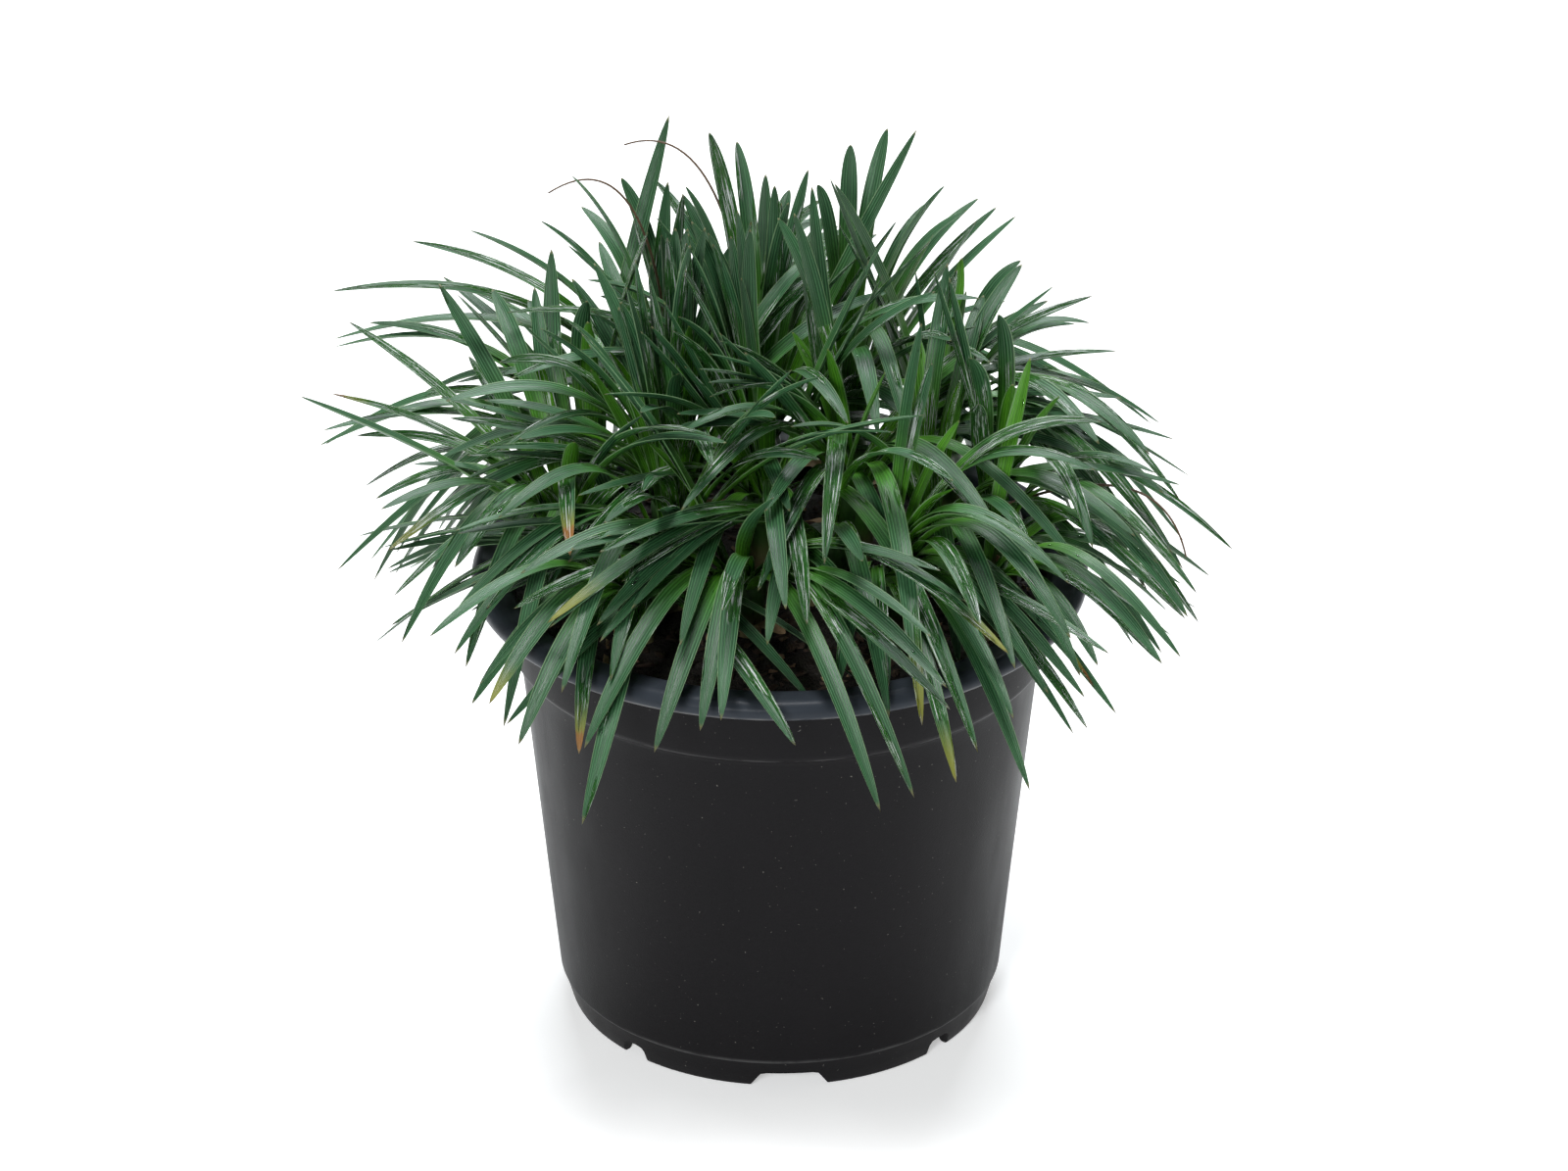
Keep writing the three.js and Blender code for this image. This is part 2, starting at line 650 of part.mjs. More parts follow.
function fillingAim(tuft, random) {
  const heading = toRadians(360 * random());
  const span = DOME_HIGHEST_ANGLE - DOME_LOWEST_ANGLE;
  const slope = toRadians(DOME_LOWEST_ANGLE + span * random());
  const range = DOME_RADIUS.longest - DOME_RADIUS.shortest;
  const radius = DOME_RADIUS.shortest + range * random();
  const x = radius * Math.cos(slope) * Math.cos(heading);
  const y = radius * Math.cos(slope) * Math.sin(heading);
  const flatness = DOME_FLATNESS + DOME_RISE_TO_BACK * y;
  const tip = [x, y, DOME_CENTRE_HEIGHT + flatness * radius * Math.sin(slope)];
  const rise = LEAF_RISE.least + LEAF_RISE.spread * random();
  const sway = 10 * (random() - 0.5);
  const roll = 50 * (random() - 0.5);
  const root = [tuft.place[0], tuft.place[1], tuft.collar];
  const chord = minus(tip, root);
  const length = Math.sqrt(dot(chord, chord));
  const fits = length > LEAF_SPAN.shortest && length < LEAF_SPAN.longest;
  return fits ? { tip, rise, sway, roll } : null;
}

function youngAim(tuft, random) {
  const heading = toRadians(360 * random());
  const reach = 6 + 14 * random();
  const tip = [
    tuft.place[0] + reach * Math.cos(heading),
    tuft.place[1] + reach * Math.sin(heading),
    tuft.collar + 26 + 16 * random(),
  ];
  return { tip, rise: 18, sway: 0, roll: 30 * (random() - 0.5) };
}

function isTooFar([x, y]) {
  return x < FARTHEST.left || x > FARTHEST.right || y < FARTHEST.front || y > FARTHEST.back;
}

function growLeaf(tuft, owner, aimFor) {
  for (let attempt = 0; attempt < TRIES; attempt += 1) {
    const aim = aimFor(attempt);
    if (!aim || isTooFar(aim.tip)) continue;
    const shape = leafShape(tuft, aim);
    if (!shape) continue;
    const samples = leafSamples(shape);
    if (isClear(samples, owner)) {
      keep(samples.map((sample) => sample.point), owner);
      shape.place.taken = true;
      tuft.leaves.push(shape);
      return;
    }
  }
}

function growLeaves() {
  const random = seededRandom(7351);
  TUFTS.forEach((tuft, i) => {
    tuft.leaves = [];
    tuft.roots = rootPlaces(tuft);
    keep(crownSamples(tuft), i + 1);
  });
  const mostLeaders = Math.max(...TUFTS.map((tuft) => tuft.leaders.length));
  for (let turn = 0; turn < mostLeaders; turn += 1) {
    TUFTS.forEach((tuft, i) => {
      const leader = tuft.leaders[turn];
      if (leader) growLeaf(tuft, i + 1, (attempt) => leaderAim(leader, attempt, random));
    });
  }
  for (let turn = 0; turn < YOUNG_LEAVES_PER_TUFT; turn += 1) {
    TUFTS.forEach((tuft, i) => growLeaf(tuft, i + 1, () => youngAim(tuft, random)));
  }
  for (let turn = 0; turn < LEAVES_PER_TUFT; turn += 1) {
    TUFTS.forEach((tuft, i) => {
      if (tuft.leaves.length >= LEAVES_PER_TUFT) return;
      growLeaf(tuft, i + 1, () => fillingAim(tuft, random));
    });
  }
}

function tuftSolid(tuft) {
  return tuft.leaves.reduce((solid, leaf) => solid.add(leafSolid(leaf)), crownSolid(tuft));
}

// The whole plant in its pot

function piece(name, solid, color, roughness) {
  const material = new THREE.MeshStandardMaterial({ color, roughness, metalness: 0 });
  const mesh = new THREE.Mesh(toGeometry(solid), material);
  mesh.name = name;
  return mesh;
}

growLeaves();

const plant = new THREE.Group();
plant.name = "potted_dwarf_mondo_grass";
plant.add(piece("pot", potSolid(), 0x2b2b2e, 0.55));
plant.add(piece("potting_mix", soilSolid(), 0x1c1611, 0.95));
for (const tuft of TUFTS) plant.add(piece(tuft.name, tuftSolid(tuft), 0x2f6b3a, 0.45));

export default plant;
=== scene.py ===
"""The looks of a dwarf mondo grass that grows in a round black nursery pot.

Shapes are worked out in millimetres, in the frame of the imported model, and become metres when
a mesh is made. The leaves grow by the same rule as in the part's source, so each fine leaf
stands where its plain one does. A size that varies from one bit to the next is given as its
least value and the most that a draw adds to that.
"""
import math

import bmesh
import bpy
import numpy as np
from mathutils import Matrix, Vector, noise


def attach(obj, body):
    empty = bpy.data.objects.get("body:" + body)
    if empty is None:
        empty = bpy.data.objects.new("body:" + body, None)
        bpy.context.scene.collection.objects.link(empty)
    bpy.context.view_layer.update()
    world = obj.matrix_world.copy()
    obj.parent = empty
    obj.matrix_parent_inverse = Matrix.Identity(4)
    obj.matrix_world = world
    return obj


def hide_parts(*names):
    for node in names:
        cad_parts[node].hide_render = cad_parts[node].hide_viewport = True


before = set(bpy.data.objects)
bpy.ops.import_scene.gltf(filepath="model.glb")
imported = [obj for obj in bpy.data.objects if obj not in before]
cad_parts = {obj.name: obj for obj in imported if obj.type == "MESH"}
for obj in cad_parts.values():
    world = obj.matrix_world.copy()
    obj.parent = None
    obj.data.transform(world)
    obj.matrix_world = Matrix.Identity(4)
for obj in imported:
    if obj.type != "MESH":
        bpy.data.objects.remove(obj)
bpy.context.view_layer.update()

METRES = 0.001

# Pot
POT_HEIGHT = 102
RIM_RADIUS = 65
RIM_INNER_RADIUS = 57.6
RIM_UNDERSIDE = 98
BAND_RADIUS = 57.6
BAND_BOTTOM = 84.4
WALL_TOP_RADIUS = 55.2
WALL_BOTTOM_RADIUS = 47.7
FOOT_HEIGHT = 7.3
FOOT_RADIUS = 45.4
FOOT_THICKNESS = 2
WALL_THICKNESS = 1.4
FLOOR_UNDERSIDE = 4.3
FLOOR_THICKNESS = 1.4
POT_SIDES = 240
WALL_RING_STEP = 4
CORNER_REACH = 1
LONGEST_CORNER_CUT = 0.42
DENT_DEPTH = 0.22
DENT_WIDTH = 34
DENT_HEIGHT = 46
DENT_BIAS = 0.35
DENT_LEAST_RADIUS = 40
CREASE_ANGLE = 34

# Notches in the foot ring, wide and narrow by turns, and drain holes in the floor, with how
# far the solids that cut them reach
NOTCH_COUNT = 8
FIRST_NOTCH_ANGLE = -87.5
NOTCH_HEIGHT = 3.9
WIDE_NOTCH = {"bottom": 18, "top": 12}
NARROW_NOTCH = {"bottom": 7, "top": 4.6}
NOTCH_CORNER = 1.2
NOTCH_CUT_BELOW = 1
NOTCH_CUT_DEPTH = 16
DRAIN_HOLE_RADIUS = 4
DRAIN_HOLE_CIRCLE = 34
DRAIN_HOLE_SIDES = 24
DRAIN_CUT_HEIGHTS = (1, 9)

# Potting mix, with the height and size of its crumbs, bits of bark and dried leaf bases
SOIL_EDGE_HEIGHT = 93
SOIL_MOUND = 2.5
SOIL_LUMP = 0.9
CLEARANCE = 0.3
SOIL_SIDES = 180
SOIL_RINGS = 64
CRUMBS = [(1.3, 7), (0.7, 2.4), (0.35, 1.1)]
BARK_BITS = 620
BARK_LENGTH = (0.7, 3.2)
BARK_WIDTH = (0.45, 0.8)
BARK_DEPTH = (0.3, 0.4)
BARK_TILT = 0.7
BARK_LIFT = 0.5
BARK_CORNERS = 9
BARK_INSET = 4
BARK_CROWN_GAP = 0.8
BARK_SEED = 311
DRY_SHEATHS = 46
SHEATH_REACH = (7, 7)
SHEATH_TIP_RISE = (1.5, 5)
SHEATH_BEND_RISE = (5, 9)
SHEATH_BREADTH = (0.45, 0.3)
SHEATH_ROLL = 80
SHEATH_INSET = 3
SHEATH_SEED = 77

# Crowns, ribbed where leaf bases overlap
COLLAR_RADIUS = 5.8
STEM_RADIUS = 4.6
CROWN_DEPTH = 13
CROWN_SIDES = 44
CROWN_ROWS = 19
CROWN_RIBS = 7
RIB_SLANT = 0.05
RIB_DEPTH = 0.12
FURROW_SHARE = 0.86

# Leaves
LEAVES_PER_TUFT = 20
YOUNG_LEAVES_PER_TUFT = 2
LEAF_STATIONS = np.array([0, 0.25, 0.56, 0.9, 1])
LEAF_HALF_WIDTHS = np.array([1, 1.95, 2.3, 1.5, 0])
BEND_REACH = 0.3
ROOT_RINGS = [(3.7, 11), (2.3, 7), (0.9, 4)]
ROOT_SINK = 2.5
LEVEL_MISFIT = 0.3
WORST_MISFIT = 1.2
UPRIGHT_TIP_HEIGHT = 66
YOUNG_REACH = 6
YOUNG_REACH_SPREAD = 14
YOUNG_HEIGHT = 26
YOUNG_HEIGHT_SPREAD = 16
YOUNG_RISE = 18
YOUNG_ROLL = 30

# How far a leading leaf may stray from its aim, once it has been tried often enough
LEADER_STRAY = (5, 14, 6)
LEADER_RISE_STRAY = 0.4
LEADER_SWAY = 8
LEADER_ROLL = 24
FULL_STRAY_TRIES = 40

# The dome that the leaf tips fill
DOME_CENTRE_HEIGHT = 100
DOME_FLATNESS = 0.78
DOME_RISE_TO_BACK = 0.003
DOME_SHORTEST = 48
DOME_LONGEST = 86
DOME_LOWEST_ANGLE = -10
DOME_HIGHEST_ANGLE = 80
SHORTEST_SPAN = 40
LONGEST_SPAN = 82
LEAST_RISE = 14
RISE_SPREAD = 24
FILLING_SWAY = 10
FILLING_ROLL = 50
FARTHEST_LEFT = -98.2
FARTHEST_RIGHT = 95.8
FARTHEST_FRONT = -85.5
FARTHEST_BACK = 85.5

# Space that a placed leaf keeps for itself
CELL = 0.6
KEEP_CLEAR = 1.3
SPACE_HALF_WIDTH = 110
SPACE_BOTTOM = 50
SPACE_HEIGHT = 160
SAMPLE_STEP = 1.1
SAMPLES_ACROSS = 5
POT_MARGIN = 1.2
SHARED_ROOT_LENGTH = 20
TRIES = 600
SHARED = 127
LEAF_SEED = 7351
LARGEST_BATCH = 48

# More leaves grow between the source's, closer together, and may cross others of their own
# tuft. At the front they lean sideways at least this much for each step forward.
MORE_LEAVES_PER_TUFT = 18
MORE_KEEP_CLEAR = 0.7
MORE_SHARED_LENGTH = 100
MORE_TRIES = 300
MORE_SEED = 6607
MORE_SHORTEST_SPAN = 52
MORE_DOME_LONGEST = 91
LEAST_SIDEWAYS = 0.7

# A fine blade, as places along it and round its section, with a channel on top, fine ridges
# and a keel below
BLADE_RINGS = 24
TIP_CROWDING = 1.35
HALF_ACROSS = [0.12, 0.26, 0.43, 0.6, 0.76, 0.93, 1]
TOP_ACROSS = np.array([-share for share in reversed(HALF_ACROSS)] + [0] + HALF_ACROSS)
UNDER_ACROSS = np.array([0.88, 0.45, 0, -0.45, -0.88])
WIDENING_POWER = 1.1
TIP_FULLNESS = 3.1
TIP_POWER = 0.68
CHANNEL_DEPTH = 0.5
CHANNEL_POWER = 1.3
BLADE_THICKNESS = 0.36
EDGE_THINNING = 0.45
KEEL_HEIGHT = 0.22
KEEL_SPREAD = 0.25
RIDGE_HEIGHT = 0.05
RIDGES = 6

# Blades are a little narrower than the source's, and short ones are slimmer
SLIM_SPAN = 72
LEAST_SLIMNESS = 0.84
BREADTH = (0.79, 0.15)
BREADTH_SEED = 9043

# Drops of water, on leaves whose tips don't reach back beyond a limit
DEW_DROPS = 230
DEW_BACK_LIMIT = 20
DEW_ALONG = (0.3, 0.62)
DEW_ACROSS = 1.3
DEW_SIZE = (0.2, 0.38)
DEW_STRETCH = (1, 1.6)
DEW_FLATNESS = 0.6
DEW_SINK = 0.05
DEW_SIDES = 10
DEW_RINGS = 5
DEW_SEED = 5209


def crown(name, place, collar, leaders):
    """A crown, the height of its collar, and its leading leaves, as the place of each tip and
    how far the leaf first rises before it bends over.
    """
    return {"name": name, "place": place, "collar": collar, "leaders": leaders}


TUFTS = [
    crown("tuft_front_left", (-30, -22), 107, [
        ((-70, -62, 116), 24), ((-58, -70, 105), 22), ((-52, -76, 99), 20), ((-44, -80, 90), 24),
        ((-37, -82, 96), 20),
    ]),
    crown("tuft_front", (-8, -18), 108, [
        ((20, -85.5, 89), 24), ((27, -70, 92), 22), ((-56, -60, 96), 20), ((-39, -72, 96), 24),
        ((-24, -76, 99), 22), ((-17, -80, 99), 20), ((-12, -74, 103), 26), ((-64, -30, 123), 20),
        ((-58, -52, 113), 18),
    ]),
    crown("tuft_front_right", (22, -17), 108, [
        ((59, -42, 101), 24), ((54, -62, 103), 24), ((47, -72, 103), 20), ((48, -72, 86), 26),
        ((40, -78, 81), 24), ((31, -74, 88), 24), ((-15, -70, 90), 24),
    ]),
    crown("tuft_right_front", (42, -18), 108, [
        ((81, -54, 107), 28), ((75, -52, 108), 24), ((73, -30, 97), 26), ((72, -60, 104), 26),
        ((63, -64, 107), 22),
    ]),
    crown("tuft_centre", (9, -5), 112, [
        ((22, -66, 100), 26), ((-30, -50, 116), 26), ((2, -66, 108), 26),
    ]),
    crown("tuft_centre_left", (-22, -7), 111, [
        ((-66, -44, 112), 28), ((-48, -58, 104), 26), ((-34, -62, 106), 24),
    ]),
    crown("tuft_centre_right", (31, 0), 112, [
        ((62, -50, 104), 26), ((48, -58, 106), 26), ((78, -22, 112), 28),
    ]),
    crown("tuft_middle", (-3, 9), 115, [
        ((35, -70, 89), 22), ((5, -50, 115), 20), ((-40, -46, 118), 22), ((-23, -55, 109), 20),
    ]),
    crown("tuft_middle_right", (15, 12), 116, [
        ((66, 28, 150), 28), ((71, 34, 137), 26), ((83, 10, 125), 26), ((65, -32, 110), 34),
        ((59, -38, 109), 30), ((55, -42, 111), 16), ((33, -60, 94), 26), ((36, -54, 95), 22),
        ((28, -50, 94), 30), ((25, -44, 113), 24), ((-3, -46, 118), 24), ((-3, -36, 131), 24),
        ((-20, -24, 143), 32), ((-44, -20, 108), 36), ((-20, -36, 131), 36),
    ]),
    crown("tuft_middle_left", (-22, 10), 114, [
        ((-93, -6, 102), 38), ((-81, -20, 114), 28), ((-60, -4, 131), 18), ((-61, -24, 138), 16),
        ((-51, -48, 102), 38),
    ]),
    crown("tuft_left", (-45, 0), 110, [
        ((-91, 26, 145), 22), ((-94, -6, 153), 24), ((-89, -14, 144), 16), ((-86, -14, 132), 24),
        ((-80, -38, 134), 26), ((-77, -44, 105), 34), ((-63, -50, 103), 34), ((-56, -50, 93), 40),
        ((-28, -62, 98), 22),
    ]),
    crown("tuft_back_left", (-40, 24), 113, [
        ((-98, 34, 112), 32), ((-93, 12, 134), 28), ((-98.2, 31, 135), 38), ((-73, 52, 143), 20),
        ((-70, 52, 140), 24), ((-27, 48, 176), 38),
    ]),
    crown("tuft_back_middle_left", (-23, 41), 115, [
        ((-66, 42, 159), 34), ((-79, 52, 152), 34), ((-96, 46, 144), 40), ((-95, 40, 135), 40),
        ((-43, 66, 154), 36), ((-40, 42, 171), 38), ((-30, 85.5, 118), 34),
    ]),
    crown("tuft_back_middle", (-5, 32), 117, [
        ((-72, 24, 125), 24), ((-69, 28, 131), 24), ((-56, 4, 142), 34), ((-56, 19, 149), 32),
        ((-15, 48, 179), 44), ((-27, 62, 162), 38), ((-8, 56, 172), 44), ((6, 42, 173), 30),
        ((28, 56, 176), 26), ((20, 56, 147), 26), ((14, -16, 141), 36), ((-3, -25, 104), 34),
        ((10, 62, 123), 40),
    ]),
    crown("tuft_back", (14, 44), 116, [
        ((15, 53, 174), 46), ((23, 62, 174), 42), ((35, 45, 168), 38), ((32, 66, 155), 32),
        ((43, 66, 156), 32), ((47, 66, 154), 24), ((51, 64, 153), 20), ((48, 34, 146), 24),
        ((26, -12, 130), 44), ((20, -10, 135), 44), ((57, 0, 112), 44), ((30, 85.5, 120), 34),
    ]),
    crown("tuft_back_right", (34, 32), 114, [
        ((62, 22, 148), 32), ((56, 26, 141), 26), ((81, 26, 121), 32), ((84, -4, 119), 36),
        ((82, -10, 108), 34),
    ]),
    crown("tuft_right", (46, 8), 111, [
        ((78, -6, 125), 22), ((95.8, 6, 101), 26), ((86, -30, 108), 28), ((85, -34, 102), 26),
        ((84, -34, 107), 24),
    ]),
]

# More leading leaves, by the crown that they spring from
MORE_LEADERS = {
    "tuft_left": [
        ((-72, 30, 152), 20), ((-91, 0, 138), 22), ((-88, 0, 126), 26),
        ((-76, -8, 128), 18), ((-84, -8, 120), 26), ((-88, 14, 112), 30),
    ],
    "tuft_back_left": [
        ((-68, 20, 154), 20), ((-97, 10, 123.5), 30), ((-86, 34, 136), 26),
        ((-80, 30, 124), 30),
    ],
    "tuft_middle_left": [((-63, -26, 138), 16), ((-76, 6, 120), 28)],
    "tuft_centre_left": [((-66, -36, 126), 14), ((-60, -40, 112), 26)],
    "tuft_back_middle_left": [((-52, 44, 160), 36), ((-36, 50, 166), 40)],
    "tuft_back_middle": [((-20, 40, 170), 40), ((2, 52, 164), 40)],
    "tuft_back": [((40, 50, 160), 38), ((8, 50, 166), 44)],
    "tuft_back_right": [((50, 40, 152), 36), ((66, 36, 140), 34)],
    "tuft_middle_right": [((-34, -30, 122), 34), ((44, -36, 124), 34)],
    "tuft_centre": [((-40, -44, 108), 28)],
    "tuft_centre_right": [((70, -34, 116), 30)],
}

# Tips that have dried, by where they are, with how much of the leaf has changed colour and
# whether it has gone brown (1) or only yellow (0)
SPENT_TIPS = [
    {"near": (-44, -46, 121), "share": 0.12, "brown": 1},
    {"near": (-40, -74, 89), "share": 0.07, "brown": 1},
    {"near": (58, -50, 96), "share": 0.06, "brown": 1},
    {"near": (-42, -55, 120), "share": 0.06, "brown": 0},
    {"near": (34, -70, 97), "share": 0.05, "brown": 0},
    {"near": (51, -58, 112), "share": 0.05, "brown": 0},
    {"near": (-83, -20, 114), "share": 0.05, "brown": 0},
    {"near": (-95, 12, 134), "share": 0.05, "brown": 1},
    {"near": (40, -78, 81), "share": 0.05, "brown": 0},
    {"near": (-58, -70, 105), "share": 0.04, "brown": 0},
]

# Thin dried filaments, as where each starts, the point that it bends towards and where it ends
FILAMENTS = [
    ((-23, 41, 114), (-25, 42, 184), (-49, 42, 167.5)),
    ((-5, 32, 116), (-8, 46, 186), (-33, 48, 176)),
    ((46, 8, 110), (80, 6, 126), (85, -5, 105)),
]
FILAMENT_RADII = (0.36, 0.20)
FILAMENT_STEPS = 32

# Camera, at the photograph's angle, and floor
LENS = 135
SENSOR_WIDTH = 36
CAMERA_DISTANCE = 1239.27
CAMERA_PITCH = 27.17
LOOK_AT = Vector((0.85, 0, 95.73))
FLOOR_HALF_WIDTH = 4000


def to_radians(degrees):
    return degrees * math.pi / 180


def spread(size, share):
    """A size that varies, at a share of the most that is added to its least value."""
    least, added = size
    return least + added * share


class Draws:
    """Numbers spread evenly from 0 to 1, the same ones each time for the same seed."""

    def __init__(self, seed):
        self.state = seed

    def __call__(self):
        self.state = self.state * 48271 % 2147483647
        return self.state / 2147483647


# Leaves. A leaf follows a curve from its root by a bend point to its tip.

def soil_height(radius):
    share = np.minimum(1, radius / RIM_INNER_RADIUS)
    return SOIL_EDGE_HEIGHT + SOIL_MOUND * (1 - share * share)


def around(tuft, radius, turn):
    """A place out from a crown's axis, to the side that an angle gives."""
    x, y = tuft["place"]
    return x + radius * math.cos(turn), y + radius * math.sin(turn)


def root_places(tuft):
    places = []
    for level, (radius, count) in enumerate(ROOT_RINGS):
        for i in range(count):
            turn = (i + 0.5 * (level % 2)) * 2 * math.pi / count
            point = (*around(tuft, radius, turn), tuft["collar"] - ROOT_SINK)
            places.append({"level": level, "turn": turn, "point": point, "taken": False})
    return places


def best_root(tuft, heading, steepness):
    """The free root place that suits a leaf best, by its heading and how upright it is."""
    wanted = min(len(ROOT_RINGS) - 1, math.floor(steepness * len(ROOT_RINGS)))
    best = None
    least = WORST_MISFIT
    for place in tuft["roots"]:
        if place["taken"]:
            continue
        misfit = 1 - math.cos(place["turn"] - heading) + LEVEL_MISFIT * abs(place["level"] - wanted)
        if misfit < least:
            best, least = place, misfit
    return best


def leaf_shape(tuft, aim):
    """A leaf that reaches for its aim, or nothing where that is too far or no root suits."""
    if aim is None:
        return None
    tip, rise, sway, roll = aim
    if not FARTHEST_LEFT <= tip[0] <= FARTHEST_RIGHT:
        return None
    if not FARTHEST_FRONT <= tip[1] <= FARTHEST_BACK:
        return None
    cx, cy = tuft["place"]
    dx, dy = tip[0] - cx, tip[1] - cy
    reach = math.hypot(dx, dy)
    ux, uy = dx / reach, dy / reach
    steepness = min(1, max(0, (tip[2] - tuft["collar"]) / UPRIGHT_TIP_HEIGHT))
    place = best_root(tuft, math.atan2(dy, dx), steepness)
    if place is None:
        return None
    bend_x = cx + dx * BEND_REACH - uy * sway
    bend_y = cy + dy * BEND_REACH + ux * sway
    return {
        "place": place, "root": place["point"], "bend": (bend_x, bend_y, tuft["collar"] + rise),
        "tip": tip, "across": (-uy, ux, 0), "roll": roll,
    }


def unit(vectors):
    return vectors * (1 / np.sqrt((vectors * vectors).sum(-1)))[..., None]


def blade_frames(leaves, t):
    """The middles of the blades at shares t of their length, with side and face directions."""
    def each(key):
        return np.array([leaf[key] for leaf in leaves], float)[:, None, :]
    root, bend, tip, across = each("root"), each("bend"), each("tip"), each("across")
    s, t = (1 - t)[:, None], t[:, None]
    centre = root * (s * s) + bend * (2 * s * t) + tip * (t * t)
    along = unit((bend - root) * s + (tip - bend) * t)
    level = unit(across - along * (across * along).sum(-1)[..., None])
    upright = np.cross(along, level)
    roll = np.array([leaf["roll"] for leaf in leaves])[:, None, None]
    turn = to_radians(roll * t)
    side = level * np.cos(turn) + upright * np.sin(turn)
    return centre, side, np.cross(along, side)


def leaf_samples(leaves):
    """Points spread over the blades, with the leaf and the distance from the root of each row."""
    centre, side, _ = blade_frames(leaves, LEAF_STATIONS)
    left = centre + side * LEAF_HALF_WIDTHS[:, None]
    right = centre - side * LEAF_HALF_WIDTHS[:, None]
    gap = (left[:, 1:] + right[:, 1:]) - (left[:, :-1] + right[:, :-1])
    length = np.sqrt((gap * gap).sum(-1)) / 2
    travelled = np.cumsum(length, axis=1) - length
    steps = np.ceil(length / SAMPLE_STEP).astype(int)
    counts = steps.ravel()
    stretch = np.repeat(np.arange(counts.size), counts)
    first = np.repeat(np.cumsum(counts) - counts, counts)
    share = (np.arange(counts.sum()) - first) / counts[stretch]
    leaf, station = np.divmod(stretch, length.shape[1])
    rest = (1 - share)[:, None]
    along = share[:, None]
    left_edge = left[leaf, station] * rest + left[leaf, station + 1] * along
    right_edge = right[leaf, station] * rest + right[leaf, station + 1] * along
    u = (np.arange(SAMPLES_ACROSS) / (SAMPLES_ACROSS - 1))[:, None]
    points = left_edge[:, None] * (1 - u) + right_edge[:, None] * u
    distance = travelled[leaf, station] + length[leaf, station] * share
    return points, leaf, distance


# The space round the plant as small cells, each free, kept by one tuft or shared
CELLS_WIDE = math.ceil(2 * SPACE_HALF_WIDTH / CELL)
CELLS_HIGH = math.ceil(SPACE_HEIGHT / CELL)
space = np.zeros(CELLS_WIDE * CELLS_WIDE * CELLS_HIGH, np.int8)


def cell_of(points):
    i = np.floor((points[..., 0] + SPACE_HALF_WIDTH) / CELL).astype(int)
    j = np.floor((points[..., 1] + SPACE_HALF_WIDTH) / CELL).astype(int)
    k = np.floor((points[..., 2] - SPACE_BOTTOM) / CELL).astype(int)
    return (i * CELLS_WIDE + j) * CELLS_HIGH + k


def nearby_cells(distance):
    reach = math.ceil(distance / CELL)
    steps = np.arange(-reach, reach + 1)
    i, j, k = np.meshgrid(steps, steps, steps, indexing="ij")
    near = np.sqrt(i * i + j * j + k * k) * CELL <= distance
    return ((i * CELLS_WIDE + j) * CELLS_HIGH + k)[near]


SOURCE_SPACING = {"near": nearby_cells(KEEP_CLEAR), "shared": SHARED_ROOT_LENGTH, "tries": TRIES}
CLOSE_SPACING = {
    "near": nearby_cells(MORE_KEEP_CLEAR), "shared": MORE_SHARED_LENGTH, "tries": MORE_TRIES,
}


def keep(points, owner, spacing):
    cells = (cell_of(points).ravel()[:, None] + spacing["near"]).ravel()
    held = space[cells]
    space[cells] = np.where((held == 0) | (held == owner), owner, SHARED)


def inside_pot(points):
    """Whether points would be inside the pot's wall, its rim or the potting mix."""
    height = points[..., 2]
    radius = np.hypot(points[..., 0], points[..., 1])
    outside = (height > POT_HEIGHT + POT_MARGIN) | (radius > RIM_RADIUS + POT_MARGIN)
    outside |= (height < RIM_UNDERSIDE - POT_MARGIN) & (radius > BAND_RADIUS + POT_MARGIN)
    in_mouth = radius < BAND_RADIUS - WALL_THICKNESS - 2 * POT_MARGIN
    outside |= in_mouth & (height > soil_height(radius) + SOIL_LUMP + POT_MARGIN)
    return ~outside


def first_clear(leaves, owner, spacing):
    """The number of the first leaf that passes every other leaf, or None."""
    points, leaf, distance = leaf_samples(leaves)
    held = space[cell_of(points)]
    far = distance[:, None] > spacing["shared"]
    blocked = (held != 0) & ((held != owner) | far)
    blocked |= inside_pot(points)
    touches = np.bincount(leaf, blocked.any(axis=1), len(leaves))
    clear = np.flatnonzero(touches == 0)
    return clear[0] if clear.size else None


def crown_samples(tuft):
    points = []
    height = SOIL_EDGE_HEIGHT
    while height <= tuft["collar"]:
        for angle in range(0, 360, 15):
            for share in (1, 0.75, 0.5):
                place = around(tuft, share * COLLAR_RADIUS, to_radians(angle))
                points.append((*place, height))
        height += 1
    return np.array(points, float)


def leader_aim(leader, attempt, draw):
    """A leading leaf is tried as given, then a little aside, until it passes the others."""
    (x, y, z), given_rise = leader
    stray = min(1, attempt / FULL_STRAY_TRIES)

    def shift():
        return (draw() - 0.5) * 2 * stray
    nudge = [farthest * shift() for farthest in LEADER_STRAY]
    rise = given_rise * (1 + LEADER_RISE_STRAY * shift())
    sway = LEADER_SWAY * shift()
    roll = LEADER_ROLL * (draw() - 0.5)
    return (x + nudge[0], y + nudge[1], z + nudge[2]), rise, sway, roll


